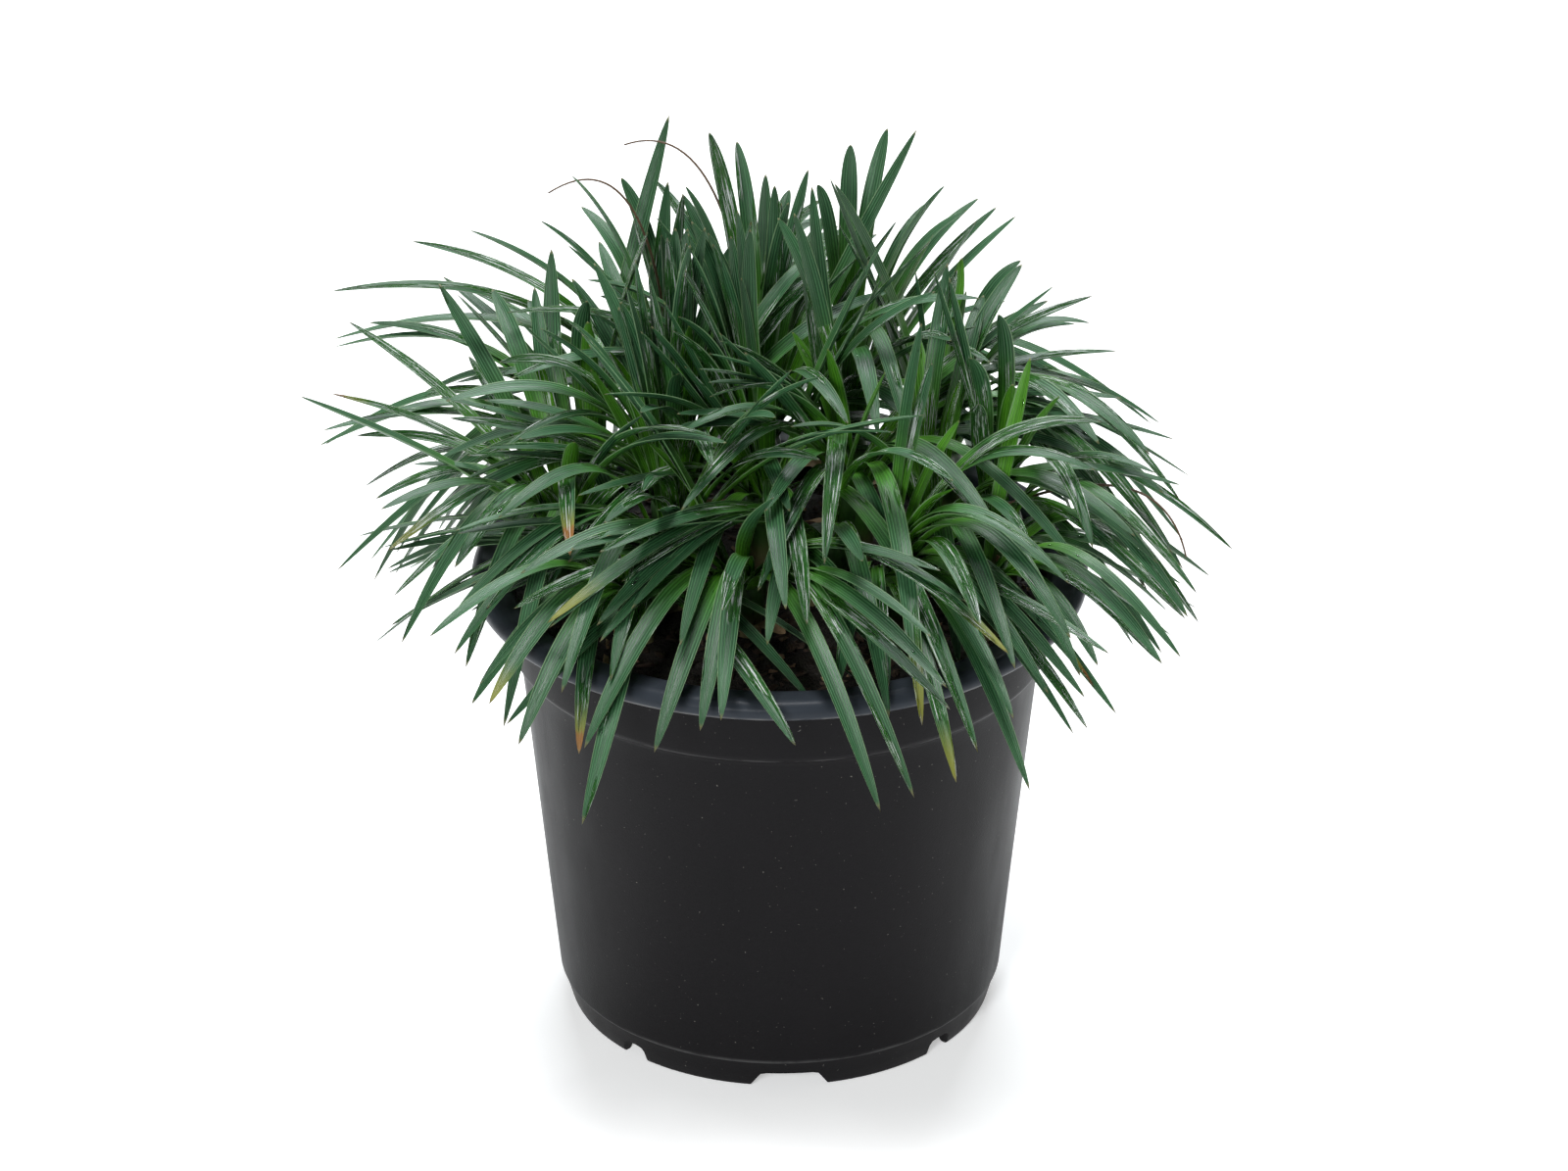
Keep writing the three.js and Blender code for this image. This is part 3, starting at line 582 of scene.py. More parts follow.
def filling_aim(tuft, draw, longest=DOME_LONGEST):
    """An aim anywhere in the dome, or nothing where it is too near the crown or too far."""
    heading = to_radians(360 * draw())
    span = DOME_HIGHEST_ANGLE - DOME_LOWEST_ANGLE
    slope = to_radians(DOME_LOWEST_ANGLE + span * draw())
    radius = DOME_SHORTEST + (longest - DOME_SHORTEST) * draw()
    x = radius * math.cos(slope) * math.cos(heading)
    y = radius * math.cos(slope) * math.sin(heading)
    flatness = DOME_FLATNESS + DOME_RISE_TO_BACK * y
    z = DOME_CENTRE_HEIGHT + flatness * radius * math.sin(slope)
    rise = LEAST_RISE + RISE_SPREAD * draw()
    sway = FILLING_SWAY * (draw() - 0.5)
    roll = FILLING_ROLL * (draw() - 0.5)
    across, depth = x - tuft["place"][0], y - tuft["place"][1]
    length = math.sqrt(across * across + depth * depth + (z - tuft["collar"]) ** 2)
    fits = SHORTEST_SPAN < length < LONGEST_SPAN
    return ((x, y, z), rise, sway, roll) if fits else None


def young_aim(tuft, draw):
    """A short and upright aim, for a leaf that has just come up."""
    heading = to_radians(360 * draw())
    place = around(tuft, YOUNG_REACH + YOUNG_REACH_SPREAD * draw(), heading)
    height = tuft["collar"] + YOUNG_HEIGHT + YOUNG_HEIGHT_SPREAD * draw()
    return (*place, height), YOUNG_RISE, 0, YOUNG_ROLL * (draw() - 0.5)


def grow_leaf(tuft, kind, draw, aim_for, spacing=SOURCE_SPACING):
    """Adds the first leaf tried that passes every other leaf, if one does.

    Leaves are tested some at a time, for speed, and the draws go on from the one that is kept.
    """
    batch = 2
    leaves, states = [], []
    for attempt in range(spacing["tries"]):
        leaf = leaf_shape(tuft, aim_for(attempt))
        if leaf:
            leaves.append(leaf)
            states.append(draw.state)
        if not leaves or (len(leaves) < batch and attempt < spacing["tries"] - 1):
            continue
        found = first_clear(leaves, tuft["owner"], spacing)
        if found is not None:
            leaf = leaves[found]
            draw.state = states[found]
            keep(leaf_samples([leaf])[0], tuft["owner"], spacing)
            leaf["place"]["taken"] = True
            leaf["kind"] = kind
            tuft["leaves"].append(leaf)
            return
        leaves, states = [], []
        batch = min(2 * batch, LARGEST_BATCH)


def grow_leaves():
    draw = Draws(LEAF_SEED)
    for owner, tuft in enumerate(TUFTS, 1):
        tuft["owner"] = owner
        tuft["leaves"] = []
        tuft["roots"] = root_places(tuft)
        keep(crown_samples(tuft), owner, SOURCE_SPACING)
    for turn in range(max(len(tuft["leaders"]) for tuft in TUFTS)):
        for tuft in TUFTS:
            if turn < len(tuft["leaders"]):
                leader = tuft["leaders"][turn]
                grow_leaf(tuft, "leader", draw, lambda attempt: leader_aim(leader, attempt, draw))
    for turn in range(YOUNG_LEAVES_PER_TUFT):
        for tuft in TUFTS:
            grow_leaf(tuft, "young", draw, lambda attempt: young_aim(tuft, draw))
    for turn in range(LEAVES_PER_TUFT):
        for tuft in TUFTS:
            if len(tuft["leaves"]) < LEAVES_PER_TUFT:
                grow_leaf(tuft, "filling", draw, lambda attempt: filling_aim(tuft, draw))


def sideways_aim(tuft, draw):
    """A long filling aim, but not one that would hang straight down at the front."""
    aim = filling_aim(tuft, draw, MORE_DOME_LONGEST)
    if aim is None:
        return None
    x, y = aim[0][0] - tuft["place"][0], aim[0][1] - tuft["place"][1]
    too_short = math.hypot(x, y, aim[0][2] - tuft["collar"]) < MORE_SHORTEST_SPAN
    forward = y < 0 and abs(x) < LEAST_SIDEWAYS * abs(y)
    return None if too_short or forward else aim


def grow_more_leaves():
    draw = Draws(MORE_SEED)
    space[:] = 0
    for tuft in TUFTS:
        tuft["roots"] = root_places(tuft)
        keep(crown_samples(tuft), tuft["owner"], CLOSE_SPACING)
        keep(leaf_samples(tuft["leaves"])[0], tuft["owner"], CLOSE_SPACING)
    tufts = {tuft["name"]: tuft for tuft in TUFTS}
    for name, leaders in MORE_LEADERS.items():
        for leader in leaders:
            grow_leaf(
                tufts[name], "more", draw, lambda attempt: leader_aim(leader, attempt, draw),
                CLOSE_SPACING,
            )
    for turn in range(MORE_LEAVES_PER_TUFT):
        for tuft in TUFTS:
            grow_leaf(tuft, "more", draw, lambda attempt: sideways_aim(tuft, draw), CLOSE_SPACING)


# Meshes

class Shape:
    """Points in millimetres, faces, and a number for each point under each attribute's name."""

    def __init__(self):
        self.points = []
        self.faces = []
        self.materials = []
        self.values = {}
        self.count = 0

    def add(self, points, faces, material=0, **values):
        points = np.asarray(points, float).reshape(-1, 3)
        self.points.append(points)
        self.faces.extend([[self.count + i for i in face] for face in faces])
        self.materials.extend([material] * len(faces))
        for name, value in values.items():
            full = np.broadcast_to(np.asarray(value, float), (len(points),))
            self.values.setdefault(name, []).append(full)
        self.count += len(points)

    def mesh(self, name):
        mesh = bpy.data.meshes.new(name)
        mesh.from_pydata(np.concatenate(self.points) * METRES, [], self.faces)
        mesh.polygons.foreach_set("material_index", self.materials)
        mesh.polygons.foreach_set("use_smooth", [True] * len(self.faces))
        for attribute, parts in self.values.items():
            layer = mesh.attributes.new(attribute, "FLOAT", "POINT")
            layer.data.foreach_set("value", np.concatenate(parts))
        mesh.update()
        return mesh


def plain_mesh(name, points, faces):
    shape = Shape()
    shape.add(points, faces)
    return shape.mesh(name)


def add_object(name, data):
    made = bpy.data.objects.new(name, data)
    bpy.context.scene.collection.objects.link(made)
    return made


def piece(name, mesh, materials, nodes=()):
    """An object of the plant that rides with the pot and may stand for nodes of the frame."""
    made = add_object(name, mesh)
    for material in materials:
        mesh.materials.append(material)
    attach(made, "root")
    if nodes:
        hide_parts(*nodes)
    return made


def turns(sides):
    """The angles of points that lie evenly round a circle."""
    return np.arange(sides) * 2 * math.pi / sides


def ring_faces(rings, sides):
    """Quads between rings of points that follow one another."""
    faces = []
    for low in range(0, (rings - 1) * sides, sides):
        high = low + sides
        for b in range(sides):
            after = (b + 1) % sides
            faces.append((low + b, low + after, high + after, high + b))
    return faces


def closed_faces(rings, sides):
    """Quads between rings of points, with a face over each end."""
    last = (rings - 1) * sides
    ends = [tuple(reversed(range(sides))), tuple(range(last, last + sides))]
    return ring_faces(rings, sides) + ends


def tube(points, radii, sides=6):
    """A closed tube round a line of points."""
    points = np.asarray(points, float)
    along = unit(np.gradient(points, axis=0))
    across = unit(np.cross(along, (0.3, 0.2, 1)))
    other = np.cross(along, across)
    turn = turns(sides)[None, :, None]
    offset = np.cos(turn) * across[:, None] + np.sin(turn) * other[:, None]
    rings = points[:, None] + offset * np.asarray(radii, float)[:, None, None]
    return rings, closed_faces(len(points), sides)


# Fine leaves

def half_width(t):
    """Half the width of a blade, from its narrow root by its widest place to its point."""
    widest = LEAF_STATIONS[2]
    most = LEAF_HALF_WIDTHS[2]
    least = LEAF_HALF_WIDTHS[0]
    swell = np.sin(np.minimum(1, t / widest) * math.pi / 2) ** WIDENING_POWER
    rising = least + (most - least) * swell
    falling = np.clip((t - widest) / (1 - widest), 0, 1)
    return rising * (1 - falling ** TIP_FULLNESS) ** TIP_POWER


BLADE_ALONG = 1 - (1 - np.linspace(0, 1, BLADE_RINGS)) ** TIP_CROWDING
BLADE_ACROSS = np.concatenate([TOP_ACROSS, UNDER_ACROSS])
BLADE_SIDES = BLADE_ACROSS.size


def blade_section(t, breadth):
    """Places across and heights above the blade's level for each ring of a blade's surface."""
    half = half_width(t)[:, None] * breadth
    fullness = half / LEAF_HALF_WIDTHS[2]
    across = BLADE_ACROSS
    under = np.concatenate([np.zeros(TOP_ACROSS.size), np.ones(UNDER_ACROSS.size)])
    hollow = -CHANNEL_DEPTH * (1 - np.abs(across) ** CHANNEL_POWER)
    hollow += RIDGE_HEIGHT * (1 - under) * np.cos(across * RIDGES * math.pi)
    keel = KEEL_HEIGHT * np.exp(-(across / KEEL_SPREAD) ** 2)
    thickness = under * (BLADE_THICKNESS * (1 - EDGE_THINNING * np.abs(across)) + keel)
    return across * half, (hollow - thickness) * fullness


def blade_faces():
    """Faces of one blade, whose rings end in a single point at the tip."""
    rings = BLADE_RINGS - 1
    faces = ring_faces(rings, BLADE_SIDES)
    faces = [tuple(reversed(face)) for face in faces]
    last = (rings - 1) * BLADE_SIDES
    tip = rings * BLADE_SIDES
    for b in range(BLADE_SIDES):
        faces.append((last + (b + 1) % BLADE_SIDES, last + b, tip))
    faces.append(tuple(range(BLADE_SIDES)))
    return faces


BLADE_FACES = blade_faces()


def add_blade(shape, leaf, breadth, **values):
    """A blade, whose points know their share of its length, their distance along and across."""
    t = BLADE_ALONG
    centre, side, face = (part[0] for part in blade_frames([leaf], t))
    across, height = blade_section(t, breadth)
    rings = centre[:, None] + side[:, None] * across[..., None] + face[:, None] * height[..., None]
    points = np.concatenate([rings[:-1].reshape(-1, 3), centre[-1:]])
    steps = np.linalg.norm(np.diff(centre, axis=0), axis=1)
    length = np.concatenate([[0], np.cumsum(steps)])
    along = np.concatenate([np.repeat(t[:-1], BLADE_SIDES), [1]])
    reach = np.concatenate([np.repeat(length[:-1], BLADE_SIDES), [length[-1]]])
    across_share = np.concatenate([np.tile(BLADE_ACROSS, BLADE_RINGS - 1), [0]])
    shape.add(points, BLADE_FACES, along=along, reach=reach, across=across_share, **values)


def spend_tips():
    """Marks the leaf whose tip is nearest to each dried tip."""
    leaves = [leaf for tuft in TUFTS for leaf in tuft["leaves"]]
    for leaf in leaves:
        leaf["spent"], leaf["brown"] = 0.0, 0.0
    tips = np.array([leaf["tip"] for leaf in leaves])
    for spent in SPENT_TIPS:
        distance = np.linalg.norm(tips - spent["near"], axis=1)
        leaf = leaves[int(np.argmin(distance))]
        leaf["spent"], leaf["brown"] = spent["share"], spent["brown"]


def add_crown(shape, tuft, draw):
    """A crown of leaf bases that overlap in ribs, domed where the leaves leave it."""
    soil = float(soil_height(math.hypot(*tuft["place"])))
    collar = tuft["collar"]
    outline = [
        (STEM_RADIUS, soil - CROWN_DEPTH), (STEM_RADIUS, soil + 1.8), (STEM_RADIUS + 0.5, soil + 5),
        (COLLAR_RADIUS - 0.3, collar - 4), (COLLAR_RADIUS - 0.9, collar - 1.4),
        (3.2, collar - 0.3), (0.4, collar),
    ]
    rows = np.linspace(0, len(outline) - 1, CROWN_ROWS)
    radius, height = (np.interp(rows, range(len(outline)), part) for part in zip(*outline))
    turn = turns(CROWN_SIDES)
    phase = draw() * 2 * math.pi
    slant = RIB_SLANT * (height - soil)
    rib = np.abs(np.sin(CROWN_RIBS / 2 * (turn[None] + slant[:, None]) + phase))
    size = radius[:, None] * (FURROW_SHARE + RIB_DEPTH * rib)
    x = tuft["place"][0] + size * np.cos(turn)
    y = tuft["place"][1] + size * np.sin(turn)
    points = np.stack([x, y, np.broadcast_to(height[:, None], x.shape)], -1)
    rise = np.clip((height - soil) / (collar - soil), 0, 1)
    shape.add(
        points, closed_faces(CROWN_ROWS, CROWN_SIDES), 1,
        rise=np.repeat(rise, CROWN_SIDES), rib=rib.ravel(), chance=draw(),
        along=0, reach=0, across=0, wet=0, young=0, spent=0, brown=0,
    )


def make_tufts(materials):
    draw = Draws(BREADTH_SEED)
    for tuft in TUFTS:
        shape = Shape()
        for leaf in tuft["leaves"]:
            length_share = min(1, math.dist(leaf["root"], leaf["tip"]) / SLIM_SPAN)
            slimness = LEAST_SLIMNESS + (1 - LEAST_SLIMNESS) * length_share
            breadth = slimness * spread(BREADTH, draw())
            add_blade(
                shape, leaf, breadth, chance=draw(), wet=draw(), rise=0, rib=0,
                young=float(leaf["kind"] == "young"), spent=leaf["spent"], brown=leaf["brown"],
            )
        add_crown(shape, tuft, draw)
        name = tuft["name"]
        piece(name + "_leaves", shape.mesh(name), materials, [name])


def make_dew(material):
    """Drops of water that lie on the upper faces of the leaves towards the front."""
    draw = Draws(DEW_SEED)
    every_leaf = [leaf for tuft in TUFTS for leaf in tuft["leaves"]]
    leaves = [leaf for leaf in every_leaf if leaf["tip"][1] < DEW_BACK_LIMIT]
    shape = Shape()
    turn = turns(DEW_SIDES)[None, :, None]
    lift = np.linspace(0, math.pi / 2, DEW_RINGS)[:, None, None]
    for _ in range(DEW_DROPS):
        leaf = leaves[int(draw() * len(leaves))]
        t = np.array([spread(DEW_ALONG, draw())])
        v = DEW_ACROSS * (draw() - 0.5)
        centre, side, face = (part[0, 0] for part in blade_frames([leaf], t))
        along = np.cross(side, face)
        half = float(half_width(t)[0])
        hollow = CHANNEL_DEPTH * (1 - abs(v) ** CHANNEL_POWER) * half / LEAF_HALF_WIDTHS[2]
        place = centre + side * v * half - face * (hollow + DEW_SINK)
        size = spread(DEW_SIZE, draw() ** 2)
        stretch = spread(DEW_STRETCH, draw())
        ring = np.cos(turn) * side + np.sin(turn) * along * stretch
        points = place + size * (np.cos(lift) * ring + DEW_FLATNESS * np.sin(lift) * face)
        shape.add(points[:, ::-1], closed_faces(DEW_RINGS, DEW_SIDES))
    piece("dew", shape.mesh("dew"), [material])


def make_filaments(material):
    shape = Shape()
    t = np.linspace(0, 1, FILAMENT_STEPS)[:, None]
    for filament in FILAMENTS:
        start, bend, end = np.array(filament)
        line = start * (1 - t) ** 2 + bend * 2 * t * (1 - t) + end * t * t
        shape.add(*tube(line, np.linspace(*FILAMENT_RADII, FILAMENT_STEPS)))
    piece("dried_filaments", shape.mesh("dried_filaments"), [material])


# Potting mix

def lump(x, y, size, seed):
    return noise.noise(Vector((x / size, y / size, seed)))


def make_soil(material):
    """The mix down to the pot's floor, with a crumbly top."""
    turn = turns(SOIL_SIDES)
    floor = FLOOR_UNDERSIDE + FLOOR_THICKNESS + CLEARANCE
    edge = BAND_RADIUS - WALL_THICKNESS - CLEARANCE
    wall_gap = WALL_THICKNESS + CLEARANCE
    body = [
        (FOOT_RADIUS - FOOT_THICKNESS + 0.4, floor),
        (WALL_BOTTOM_RADIUS - wall_gap, FOOT_HEIGHT + 0.6),
        (WALL_TOP_RADIUS - wall_gap, BAND_BOTTOM - 0.8),
        (edge, BAND_BOTTOM + 1.6),
    ]
    rings = [[(r * math.cos(a), r * math.sin(a), z) for a in turn] for r, z in body]
    for radius in np.linspace(edge, 0.4, SOIL_RINGS):
        ring = []
        for a in turn:
            x, y = radius * math.cos(a), radius * math.sin(a)
            crumbs = sum(
                height * lump(x, y, size, seed) for seed, (height, size) in enumerate(CRUMBS, 1))
            near_wall = min(1, (edge - radius) / 2 + 0.2)
            ring.append((x, y, float(soil_height(radius)) + crumbs * near_wall))
        rings.append(ring)
    mesh = plain_mesh("potting_mix", rings, closed_faces(len(rings), SOIL_SIDES))
    piece("potting_mix_crumbs", mesh, [material], ["potting_mix"])


def free_place(draw):
    """A place on the potting mix that isn't under a crown."""
    while True:
        radius = (BAND_RADIUS - BARK_INSET) * math.sqrt(draw())
        angle = 2 * math.pi * draw()
        place = (radius * math.cos(angle), radius * math.sin(angle))
        nearest = min(math.dist(place, tuft["place"]) for tuft in TUFTS)
        if nearest > STEM_RADIUS + BARK_CROWN_GAP:
            return *place, float(soil_height(radius))


def make_bark(material):
    """Splinters and crumbs of bark that lie on the mix."""
    draw = Draws(BARK_SEED)
    whole = bmesh.new()
    tint = whole.verts.layers.float.new("tint")
    for _ in range(BARK_BITS):
        x, y, z = free_place(draw)
        length = spread(BARK_LENGTH, draw() ** 3)
        width = spread(BARK_WIDTH, draw())
        depth = spread(BARK_DEPTH, draw())
        turn = 2 * math.pi * draw()
        cosine, sine = math.cos(turn), math.sin(turn)
        tilt = BARK_TILT * (draw() - 0.5)
        shade = draw()
        middle = Vector((x, y, z + depth + BARK_LIFT))
        verts = []
        for _ in range(BARK_CORNERS):
            u, v, w = (2 * draw() - 1 for _ in range(3))
            x, y, z = Vector((u * length, v * width, w * depth + u * length * tilt))
            corner = Vector((x * cosine - y * sine, x * sine + y * cosine, z))
            vert = whole.verts.new((corner + middle) * METRES)
            vert[tint] = shade
            verts.append(vert)
        hull = bmesh.ops.convex_hull(whole, input=verts)
        spare = [item for item in hull["geom_interior"] if isinstance(item, bmesh.types.BMVert)]
        bmesh.ops.delete(whole, geom=spare, context="VERTS")
    mesh = bpy.data.meshes.new("bark_bits")
    whole.to_mesh(mesh)
    whole.free()
    piece("bark_bits", mesh, [material])


def beside(tuft, turn, reach, rise):
    """A place out from a crown's axis and above the potting mix at its foot."""
    soil = float(soil_height(math.hypot(*tuft["place"])))
    return *around(tuft, reach, turn), soil + rise


def make_dry_sheaths(material):
    """Old leaf bases, dried to tan strips, that hang round the crowns."""
    draw = Draws(SHEATH_SEED)
    shape = Shape()
    for _ in range(DRY_SHEATHS):
        tuft = TUFTS[int(draw() * len(TUFTS))]
        turn = 2 * math.pi * draw()
        reach, tip_rise = spread(SHEATH_REACH, draw()), spread(SHEATH_TIP_RISE, draw())
        bend_rise = spread(SHEATH_BEND_RISE, draw())
        sheath = {
            "root": beside(tuft, turn, STEM_RADIUS - 0.6, 1),
            "bend": beside(tuft, turn, STEM_RADIUS + 1, bend_rise),
            "tip": beside(tuft, turn, reach, tip_rise),
            "across": (-math.sin(turn), math.cos(turn), 0),
            "roll": SHEATH_ROLL * (draw() - 0.5),
        }
        if math.hypot(*sheath["tip"][:2]) < BAND_RADIUS - SHEATH_INSET:
            add_blade(shape, sheath, spread(SHEATH_BREADTH, draw()), chance=draw())
    piece("dry_sheaths", shape.mesh("dry_sheaths"), [material])


# Pot

def rounded(profile, reach):
    """The outline with each corner turned by a short curve."""
    points = []
    for i, point in enumerate(profile):
        if i == 0 or i == len(profile) - 1:
            points.append(point)
            continue
        here = Vector(point)
        before, after = Vector(profile[i - 1]), Vector(profile[i + 1])
        cut = min(reach, LONGEST_CORNER_CUT * min((before - here).length, (after - here).length))
        start = here + (before - here).normalized() * cut
        end = here + (after - here).normalized() * cut
        for t in (0, 0.3, 0.7, 1):
            bend = start * (1 - t) ** 2 + here * 2 * t * (1 - t) + end * t * t
            points.append((bend.x, bend.y))
    return points


def with_rings(profile):
    """The outline with extra points on its long straight stretches."""
    points = [profile[0]]
    for (r0, z0), (r1, z1) in zip(profile, profile[1:]):
        steps = max(1, math.ceil(math.hypot(r1 - r0, z1 - z0) / WALL_RING_STEP))
        for i in range(1, steps + 1):
            points.append((r0 + (r1 - r0) * i / steps, z0 + (z1 - z0) * i / steps))
    return points


def pot_inner_radius(height):
    slope = (WALL_TOP_RADIUS - WALL_BOTTOM_RADIUS) / (BAND_BOTTOM - FOOT_HEIGHT)
    return WALL_BOTTOM_RADIUS + slope * (height - FOOT_HEIGHT) - WALL_THICKNESS


def pot_profile():
    floor_top = FLOOR_UNDERSIDE + FLOOR_THICKNESS
    corners = [
        (0.01, FLOOR_UNDERSIDE),
        (FOOT_RADIUS - FOOT_THICKNESS - 0.6, FLOOR_UNDERSIDE),
        (FOOT_RADIUS - FOOT_THICKNESS, 0),
        (FOOT_RADIUS, 0),
        (WALL_BOTTOM_RADIUS - 0.4, FOOT_HEIGHT - 0.4),
        (WALL_BOTTOM_RADIUS, FOOT_HEIGHT),
        (WALL_TOP_RADIUS, BAND_BOTTOM - 0.8),
        (BAND_RADIUS - 0.3, BAND_BOTTOM + 0.4),
        (BAND_RADIUS, RIM_UNDERSIDE - 0.4),
        (RIM_RADIUS - 0.5, RIM_UNDERSIDE),
        (RIM_RADIUS, POT_HEIGHT - 1.8),
        (RIM_RADIUS - 1.8, POT_HEIGHT),
        (RIM_INNER_RADIUS, POT_HEIGHT - 0.4),
        (BAND_RADIUS - WALL_THICKNESS, POT_HEIGHT - 2.6),
        (BAND_RADIUS - WALL_THICKNESS, BAND_BOTTOM + 1.4),
        (pot_inner_radius(BAND_BOTTOM), BAND_BOTTOM - 0.6),
        (pot_inner_radius(FOOT_HEIGHT), FOOT_HEIGHT),
        (FOOT_RADIUS - FOOT_THICKNESS + 0.8, floor_top),
        (0.01, floor_top),
    ]
    return with_rings(rounded(corners, CORNER_REACH))


def turned_mesh(name, profile, sides):
    points = [(r * math.cos(a), r * math.sin(a), z) for r, z in profile for a in turns(sides)]
    return plain_mesh(name, points, closed_faces(len(profile), sides))


def prism(outline, depth, name):
    """A solid with a flat outline in X and Z that runs along Y."""
    count = len(outline)
    points = [(x, y, z) for y in (-depth / 2, depth / 2) for x, z in outline]
    faces = [tuple(range(count)), tuple(reversed(range(count, 2 * count)))]
    for i in range(count):
        j = (i + 1) % count
        faces.append((j, i, count + i, count + j))
    return plain_mesh(name, points, faces)


def notch_mesh(notch):
    """The solid that cuts a notch, which narrows upwards to rounded corners."""
    half, corner = notch["top"] / 2, NOTCH_CORNER
    right = [
        (notch["bottom"] / 2, -NOTCH_CUT_BELOW),
        (half + corner * 0.6, NOTCH_HEIGHT - corner),
        (half + corner * 0.1, NOTCH_HEIGHT - corner * 0.25),
        (half - corner, NOTCH_HEIGHT),
    ]
    left = [(-x, z) for x, z in reversed(right)]
    return prism([left.pop()] + right + left, NOTCH_CUT_DEPTH, "notch")


def drain_hole_mesh():
    """The solid that cuts a drain hole through the pot's floor."""
    profile = [(DRAIN_HOLE_RADIUS, height) for height in DRAIN_CUT_HEIGHTS]
    return turned_mesh("drain_hole", profile, DRAIN_HOLE_SIDES)


def cut(target, mesh, place, angle):
    """Cuts a mesh, placed and turned about the pot's axis, out of the target."""
    cutter = add_object("cutter", mesh)
    turn = to_radians(angle)
    cutter.location = (place * math.cos(turn) * METRES, place * math.sin(turn) * METRES, 0)
    cutter.rotation_euler = (0, 0, turn + math.pi / 2)
    modifier = target.modifiers.new("cut", "BOOLEAN")
    modifier.operation = "DIFFERENCE"
    modifier.solver = "EXACT"
    modifier.object = cutter
    return cutter


def dent(mesh):
    """Bends the thin wall inwards a little in places, as a used pot's is."""
    for vertex in mesh.vertices:
        x, y, z = vertex.co / METRES
        radius = math.hypot(x, y)
        if radius < DENT_LEAST_RADIUS or not FOOT_HEIGHT < z < RIM_UNDERSIDE:
            continue
        share = math.sin(math.pi * (z - FOOT_HEIGHT) / (RIM_UNDERSIDE - FOOT_HEIGHT))
        place = Vector((x / DENT_WIDTH, y / DENT_WIDTH, z / DENT_HEIGHT))
        swell = noise.noise(place) - DENT_BIAS
        scale = 1 + DENT_DEPTH * share * min(0, swell) / radius
        vertex.co.x *= scale
        vertex.co.y *= scale


def make_pot(material):
    body = turned_mesh("pot", pot_profile(), POT_SIDES)
    pot = piece("pot_shell", body, [material], ["pot"])
    cutters = []
    wide, narrow, hole = notch_mesh(WIDE_NOTCH), notch_mesh(NARROW_NOTCH), drain_hole_mesh()
    for i in range(NOTCH_COUNT):
        angle = FIRST_NOTCH_ANGLE + 360 / NOTCH_COUNT * i
        cutters.append(cut(pot, narrow if i % 2 else wide, FOOT_RADIUS, angle))
        cutters.append(cut(pot, hole, DRAIN_HOLE_CIRCLE, angle))
    graph = bpy.context.evaluated_depsgraph_get()
    finished = bpy.data.meshes.new_from_object(pot.evaluated_get(graph))
    pot.modifiers.clear()
    pot.data = finished
    for cutter in cutters:
        bpy.data.objects.remove(cutter)
    dent(finished)
    finished.polygons.foreach_set("use_smooth", [True] * len(finished.polygons))
    finished.set_sharp_from_angle(angle=to_radians(CREASE_ANGLE))


# Materials

class Shader:
    """A material's nodes, with short names for the steps that these materials repeat."""

    def __init__(self, name):
        self.material = bpy.data.materials.new(name)
        self.material.use_nodes = True
        self.tree = self.material.node_tree
        self.surface = self.tree.nodes["Principled BSDF"]

    def set(self, socket, value):
        if isinstance(value, bpy.types.NodeSocket):
            self.tree.links.new(value, socket)
        elif value is not None:
            socket.default_value = value

    def node(self, kind, settings=None, inputs=None):
        node = self.tree.nodes.new(kind)
        for key, value in (settings or {}).items():
            setattr(node, key, value)
        for key, value in (inputs or {}).items():
            self.set(node.inputs[key], value)
        return node

    def number(self, name):
        return self.node("ShaderNodeAttribute", {"attribute_name": name}).outputs["Fac"]

    def place(self):
        return self.node("ShaderNodeTexCoord").outputs["Object"]

    def maths(self, operation, first, second=None, clamp=False):
        settings = {"operation": operation, "use_clamp": clamp}
        return self.node("ShaderNodeMath", settings, {0: first, 1: second}).outputs[0]

    def times(self, first, second):
        return self.maths("MULTIPLY", first, second)

    def plus(self, first, second):
        return self.maths("ADD", first, second)

    def minus(self, first, second):
        return self.maths("SUBTRACT", first, second)

    def ramp(self, value, low, high, to_low=0.0, to_high=1.0):
        inputs = {
            "Value": value, "From Min": low, "From Max": high, "To Min": to_low, "To Max": to_high,
        }
        settings = {"interpolation_type": "SMOOTHSTEP"}
        return self.node("ShaderNodeMapRange", settings, inputs).outputs[0]

    def vector(self, x, y, z):
        return self.node("ShaderNodeCombineXYZ", None, {0: x, 1: y, 2: z}).outputs[0]

    def noise(self, vector, scale, detail=2.0, roughness=0.5):
        inputs = {"Vector": vector, "Scale": scale, "Detail": detail, "Roughness": roughness}
        return self.node("ShaderNodeTexNoise", None, inputs).outputs["Fac"]

    def mix(self, factor, first, second):
        node = self.node("ShaderNodeMix", {"data_type": "RGBA"})
        self.set(node.inputs[0], factor)
        self.set(node.inputs[6], first)
        self.set(node.inputs[7], second)
        return node.outputs[2]

    def stain(self, base, mask, amount, tint):
        """The base colour, changed to the tint by the mask, to the given amount at most."""
        return self.mix(self.times(mask, amount), base, tint)

    def bump(self, height, strength, distance, normal=None):
        inputs = {"Height": height, "Strength": strength, "Distance": distance}
        node = self.node("ShaderNodeBump", None, inputs)
        if normal is not None:
            self.set(node.inputs["Normal"], normal)
        return node.outputs["Normal"]

    def finish(self, **inputs):
        for key, value in inputs.items():
            self.set(self.surface.inputs[key.replace("_", " ")], value)
        return self.material


def colour(red, green, blue):
    return (red, green, blue, 1.0)


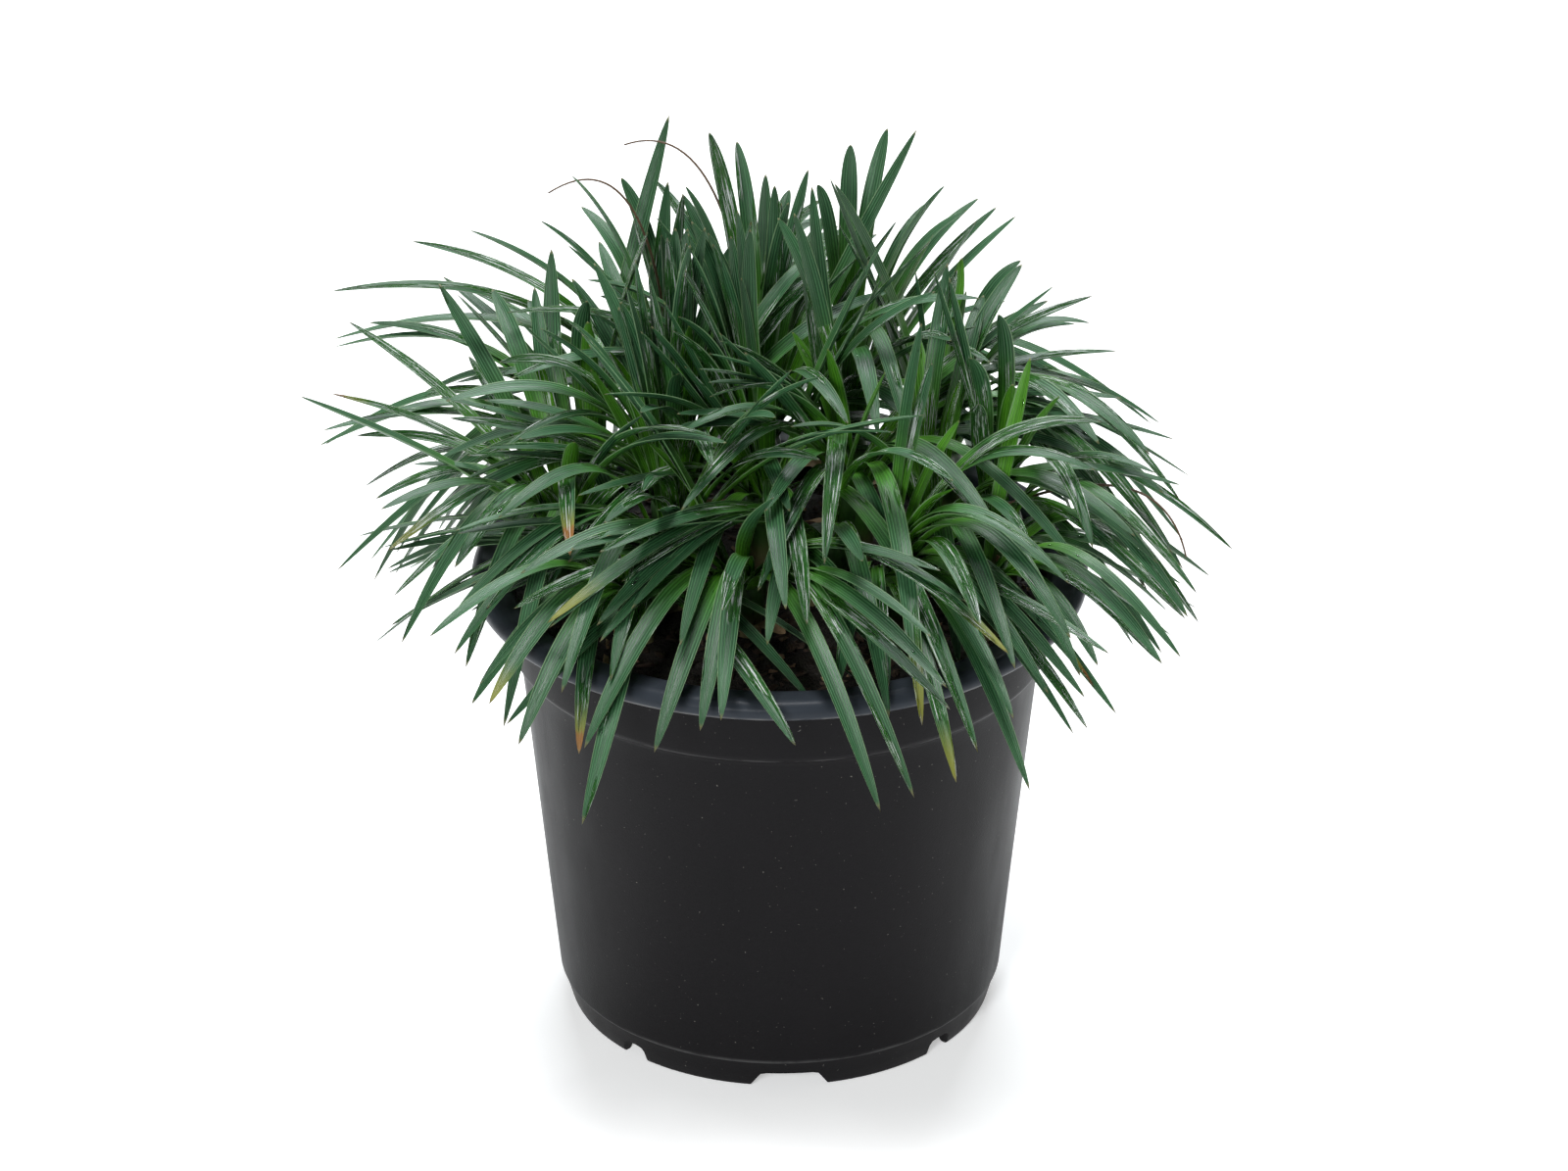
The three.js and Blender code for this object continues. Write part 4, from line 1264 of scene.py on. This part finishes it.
def leaf_noise(shader, fineness_across, fineness_along, detail=4.0, roughness=0.6):
    """Noise that is drawn out along a blade, and differs from leaf to leaf."""
    across = shader.times(shader.number("across"), fineness_across)
    along = shader.times(shader.number("reach"), fineness_along)
    leaf = shader.times(shader.number("chance"), 91.0)
    return shader.noise(shader.vector(across, along, leaf), 1.0, detail, roughness)


def blade_green(shader, grain, vein, soaked):
    """Waxy green with pale veins, its bluish tone partly a painted sheen, lush where it is wet.
    Near the root it is bright, painted light shining through the blade bases; young leaves are
    bright too.
    """
    chance, young = shader.number("chance"), shader.number("young")
    cloud = leaf_noise(shader, 0.6, 0.06, 2.0, 0.5)
    tone = shader.plus(shader.times(cloud, 0.5), shader.times(chance, 0.5))
    # The leaf's own green, its paler end tinted bluish as a painted sheen
    waxy_green_and_painted_sheen = shader.mix(tone, colour(0.006, 0.044, 0.011), colour(0.030, 0.128, 0.046))
    waxy_green_and_painted_sheen = shader.stain(waxy_green_and_painted_sheen, vein, 0.55, colour(0.095, 0.235, 0.105))
    lush = shader.mix(grain, colour(0.012, 0.085, 0.010), colour(0.045, 0.180, 0.022))
    bright = shader.mix(grain, colour(0.035, 0.180, 0.003), colour(0.130, 0.400, 0.010))
    green = shader.mix(shader.times(soaked, 0.8), waxy_green_and_painted_sheen, lush)
    # Painted light: blades turn bright green towards the root, as light shining through the bases;
    # young leaves are bright green in their own colour too
    painted_root_glow = shader.ramp(shader.number("along"), 0.74, 0.18)
    root_glow_and_young = shader.maths("MAXIMUM", painted_root_glow, shader.times(young, 0.85), clamp=True)
    return shader.mix(root_glow_and_young, green, bright)


def lined(shader, green, vein_wave):
    """The green with dark grooves between the veins, a dark midrib and pale margins."""
    outward = shader.maths("ABSOLUTE", shader.number("across"))
    groove = shader.ramp(vein_wave, -0.35, -0.95)
    midrib = shader.ramp(outward, 0.12, 0.0)
    margin = shader.ramp(outward, 0.90, 0.97)
    green = shader.stain(green, groove, 0.55, colour(0.003, 0.020, 0.005))
    green = shader.stain(green, midrib, 0.45, colour(0.006, 0.034, 0.010))
    return shader.stain(green, margin, 0.8, colour(0.240, 0.380, 0.190))


def dried(shader, green, grain):
    """The green with tips that have turned yellow or brown, and a withered point on each."""
    along, spent = shader.number("along"), shader.number("spent")
    ragged = shader.times(shader.minus(grain, 0.5), 0.06)
    past = shader.plus(shader.minus(along, shader.minus(1.0, spent)), ragged)
    any_spent = shader.ramp(spent, 0.0, 0.01)
    yellowed = shader.times(shader.ramp(past, -0.10, 0.04), any_spent)
    browned = shader.times(shader.ramp(past, 0.0, 0.02), any_spent)
    browned = shader.times(browned, shader.number("brown"))
    rust = shader.mix(grain, colour(0.44, 0.20, 0.035), colour(0.09, 0.035, 0.014))
    withered = shader.ramp(along, 0.980, 0.996)
    green = shader.stain(green, yellowed, 0.75, colour(0.280, 0.270, 0.030))
    green = shader.mix(browned, green, rust)
    return shader.stain(green, withered, 0.65, colour(0.270, 0.225, 0.100))


def leaf_material():
    """Waxy green blades, whose bluish tone is partly a painted sheen, with fine veins, pale
    margins, wet patches with painted glints, and dried tips.
    """
    shader = Shader("mondo_leaf")
    grain = leaf_noise(shader, 7.0, 0.11)
    vein_wave = shader.maths("COSINE", shader.times(shader.number("across"), RIDGES * math.pi))
    vein = shader.ramp(vein_wave, 0.0, 0.95)

    patch = leaf_noise(shader, 0.5, 0.045, 1.0, 0.5)
    patch_level = shader.ramp(shader.number("wet"), 0.2, 1.0, 0.68, 0.40)
    soaked = shader.ramp(shader.minus(patch, patch_level), 0.0, 0.05)
    streak = leaf_noise(shader, 8.0, 0.10)
    painted_glint = shader.times(soaked, shader.ramp(streak, 0.555, 0.60))

    green = blade_green(shader, grain, vein, soaked)
    green = dried(shader, lined(shader, green, vein_wave), grain)
    # Painted highlight: pale glints along the streaks of the wet patches, a painted reflection of
    # the lamps
    green = shader.stain(green, painted_glint, 0.8, colour(0.85, 0.90, 0.89))

    roughness = shader.ramp(soaked, 0.0, 1.0, 0.38, 0.10)
    roughness = shader.plus(roughness, shader.times(grain, 0.08))
    relief = shader.plus(shader.times(vein, 0.8), shader.times(grain, 0.4))
    normal = shader.bump(relief, 0.8, 0.00022)
    normal = shader.bump(shader.times(soaked, streak), 1.0, 0.0009, normal)
    return shader.finish(
        Base_Color=green, Roughness=roughness, Normal=normal, Specular_IOR_Level=0.5,
    )


def crown_material():
    shader = Shader("mondo_crown")
    rise, rib, chance = shader.number("rise"), shader.number("rib"), shader.number("chance")
    fibre = shader.noise(shader.place(), 900.0, 3.0, 0.6)
    base = shader.mix(fibre, colour(0.22, 0.21, 0.10), colour(0.12, 0.075, 0.035))
    top = shader.mix(fibre, colour(0.013, 0.055, 0.005), colour(0.034, 0.115, 0.012))
    body = shader.mix(shader.ramp(rise, 0.05, 0.55), base, top)
    # Painted shade: the furrows between the ribs are darkened nearly to black
    body = shader.mix(shader.ramp(rib, 0.35, 0.0), body, colour(0.008, 0.016, 0.004))
    height = shader.plus(rib, shader.times(fibre, 0.3))
    roughness = shader.plus(0.45, shader.times(chance, 0.08))
    normal = shader.bump(height, 0.5, 0.0002)
    return shader.finish(Base_Color=body, Roughness=roughness, Normal=normal)


def soil_material():
    shader = Shader("damp_potting_mix")
    place = shader.place()
    coarse = shader.noise(place, 260.0, 4.0, 0.65)
    fine = shader.noise(place, 1500.0, 3.0, 0.6)
    dark = shader.mix(coarse, colour(0.0036, 0.0024, 0.0018), colour(0.018, 0.0114, 0.0066))
    fleck = shader.ramp(fine, 0.66, 0.72)
    body = shader.mix(fleck, dark, colour(0.066, 0.045, 0.027))
    roughness = shader.ramp(coarse, 0.3, 0.7, 0.95, 0.6)
    normal = shader.bump(shader.plus(coarse, shader.times(fine, 0.5)), 0.9, 0.0012)
    return shader.finish(Base_Color=body, Roughness=roughness, Normal=normal)


def bark_material():
    shader = Shader("bark")
    tint = shader.number("tint")
    fibre = shader.noise(shader.place(), 1100.0, 3.0, 0.6)
    dark = shader.mix(fibre, colour(0.012, 0.007, 0.004), colour(0.050, 0.027, 0.014))
    pale = shader.mix(fibre, colour(0.16, 0.095, 0.05), colour(0.30, 0.20, 0.12))
    body = shader.mix(shader.ramp(tint, 0.80, 0.97), dark, pale)
    return shader.finish(Base_Color=body, Roughness=0.85, Normal=shader.bump(fibre, 0.6, 0.0004))


# The pale and the dark tone of what has dried
FILAMENT_BROWNS = (colour(0.14, 0.080, 0.040), colour(0.050, 0.026, 0.012))
SHEATH_TANS = (colour(0.42, 0.29, 0.16), colour(0.16, 0.085, 0.04))


def dry_material(name, colours):
    shader = Shader(name)
    fibre = shader.noise(shader.place(), 1400.0, 3.0, 0.6)
    body = shader.mix(fibre, *colours)
    return shader.finish(Base_Color=body, Roughness=0.6, Normal=shader.bump(fibre, 0.5, 0.0002))


def dew_material():
    shader = Shader("water")
    return shader.finish(
        Base_Color=colour(1, 1, 1), Roughness=0.03, IOR=1.33, Transmission_Weight=1.0,
    )


def pot_material():
    shader = Shader("black_pot_plastic")
    place = shader.place()
    parts = shader.node("ShaderNodeSeparateXYZ", None, {0: place})
    x, y, height = parts.outputs[0], parts.outputs[1], parts.outputs[2]
    angle = shader.maths("ARCTAN2", y, x)
    cloud = shader.noise(place, 14.0, 3.0, 0.55)
    streak_place = shader.vector(shader.times(angle, 2.2), shader.times(height, 12.0), 0.0)
    streak = shader.noise(streak_place, 2.0, 4.0, 0.6)
    speck = shader.ramp(shader.noise(place, 1600.0, 2.0, 0.5), 0.73, 0.78)
    scratch_place = shader.vector(shader.times(angle, 2.0), shader.times(height, 500.0), 3.0)
    scratch = shader.ramp(shader.noise(scratch_place, 2.0, 6.0, 0.75), 0.70, 0.76)
    body = shader.mix(cloud, colour(0.0030, 0.0028, 0.0034), colour(0.0068, 0.0064, 0.0076))
    body = shader.stain(body, streak, 0.2, colour(0.020, 0.018, 0.018))
    body = shader.stain(body, speck, 0.6, colour(0.20, 0.19, 0.17))
    body = shader.stain(body, scratch, 0.25, colour(0.10, 0.10, 0.10))
    # Painted highlight: the top of the rim is tinted lighter and bluer; it is also a little
    # glossier
    rim = shader.ramp(height, (RIM_UNDERSIDE - 0.5) * METRES, (RIM_UNDERSIDE + 0.6) * METRES)
    body = shader.stain(body, rim, 0.8, colour(0.030, 0.036, 0.045))
    for line, wear in ((FOOT_HEIGHT, 0.35), (BAND_BOTTOM, 0.4), (RIM_UNDERSIDE + 0.3, 0.9)):
        away = shader.maths("ABSOLUTE", shader.minus(height, line * METRES))
        scuff = shader.times(shader.ramp(away, 0.0007, 0.0), shader.ramp(streak, 0.36, 0.60))
        body = shader.stain(body, scuff, wear, colour(0.130, 0.130, 0.130))
    roughness = shader.ramp(streak, 0.3, 0.75, 0.40, 0.50)
    roughness = shader.minus(roughness, shader.times(rim, 0.1))
    grain = shader.noise(place, 2600.0, 2.0, 0.5)
    relief = shader.plus(grain, shader.times(cloud, 6.0))
    return shader.finish(
        Base_Color=body, Roughness=roughness, Normal=shader.bump(relief, 0.16, 0.0002),
        Specular_IOR_Level=0.08,
    )


def floor_material():
    shader = Shader("pale_floor")
    mottle = shader.noise(shader.place(), 3.0, 2.0)
    body = shader.mix(mottle, colour(0.78, 0.78, 0.78), colour(0.80, 0.80, 0.80))
    glow = colour(1, 1, 1)
    return shader.finish(
        Base_Color=body, Roughness=0.9, Emission_Color=glow, Emission_Strength=0.465,
    )


# Stage

def make_floor():
    """A wide pale floor, whose own faint glow softens the shadow as a lit studio sweep does."""
    half = FLOOR_HALF_WIDTH
    corners = [(-half, -half, 0), (half, -half, 0), (half, half, 0), (-half, half, 0)]
    mesh = plain_mesh("floor", corners, [(0, 1, 2, 3)])
    mesh.materials.append(floor_material())
    made = add_object("floor", mesh)


def make_light(name, place, size, power, tint=(1, 1, 1)):
    light = bpy.data.lights.new(name, "AREA")
    light.shape = "RECTANGLE"
    light.size, light.size_y = size
    light.energy = power
    light.color = tint
    made = add_object(name, light)
    made.location = place
    aim = Vector((0, 0, 0.1)) - made.location
    made.rotation_euler = aim.to_track_quat("-Z", "Y").to_euler()


def make_lights():
    world = bpy.data.worlds.new("studio")
    world.use_nodes = True
    back = world.node_tree.nodes["Background"]
    back.inputs["Color"].default_value = colour(0.96, 0.98, 1.0)
    back.inputs["Strength"].default_value = 0.11
    bpy.context.scene.world = world
    make_light("overhead", (-0.1, 0.1, 2.4), (0.8, 0.8), 54, (0.98, 0.99, 1.0))
    make_light("key", (-0.6, -2.0, 1.2), (0.5, 0.5), 30, (0.96, 0.99, 1.0))
    make_light("back", (0.1, 2.0, 2.0), (1.5, 0.7), 64, (0.92, 0.97, 1.0))
    make_light("left", (-1.7, 0.5, 0.5), (0.4, 0.8), 2.4, (1.0, 0.91, 0.84))
    make_light("right", (1.7, 0.5, 0.5), (0.4, 0.8), 2.4, (1.0, 0.91, 0.84))


def make_camera():
    camera = add_object("camera", bpy.data.cameras.new("camera"))
    camera.data.lens = LENS
    camera.data.sensor_width = SENSOR_WIDTH
    pitch = to_radians(CAMERA_PITCH)
    back = Vector((0, -math.cos(pitch), math.sin(pitch)))
    camera.location = (LOOK_AT + back * CAMERA_DISTANCE) * METRES
    camera.rotation_euler = (math.pi / 2 - pitch, 0, 0)
    camera.data.clip_start = 0.05
    camera.data.clip_end = 50
    bpy.context.scene.camera = camera


grow_leaves()
grow_more_leaves()
spend_tips()
make_tufts([leaf_material(), crown_material()])
make_dew(dew_material())
make_filaments(dry_material("dried_filament", FILAMENT_BROWNS))
make_soil(soil_material())
make_bark(bark_material())
make_dry_sheaths(dry_material("dry_sheath", SHEATH_TANS))
make_pot(pot_material())
make_floor()
make_lights()
make_camera()
bpy.context.scene.view_settings.view_transform = "Standard"
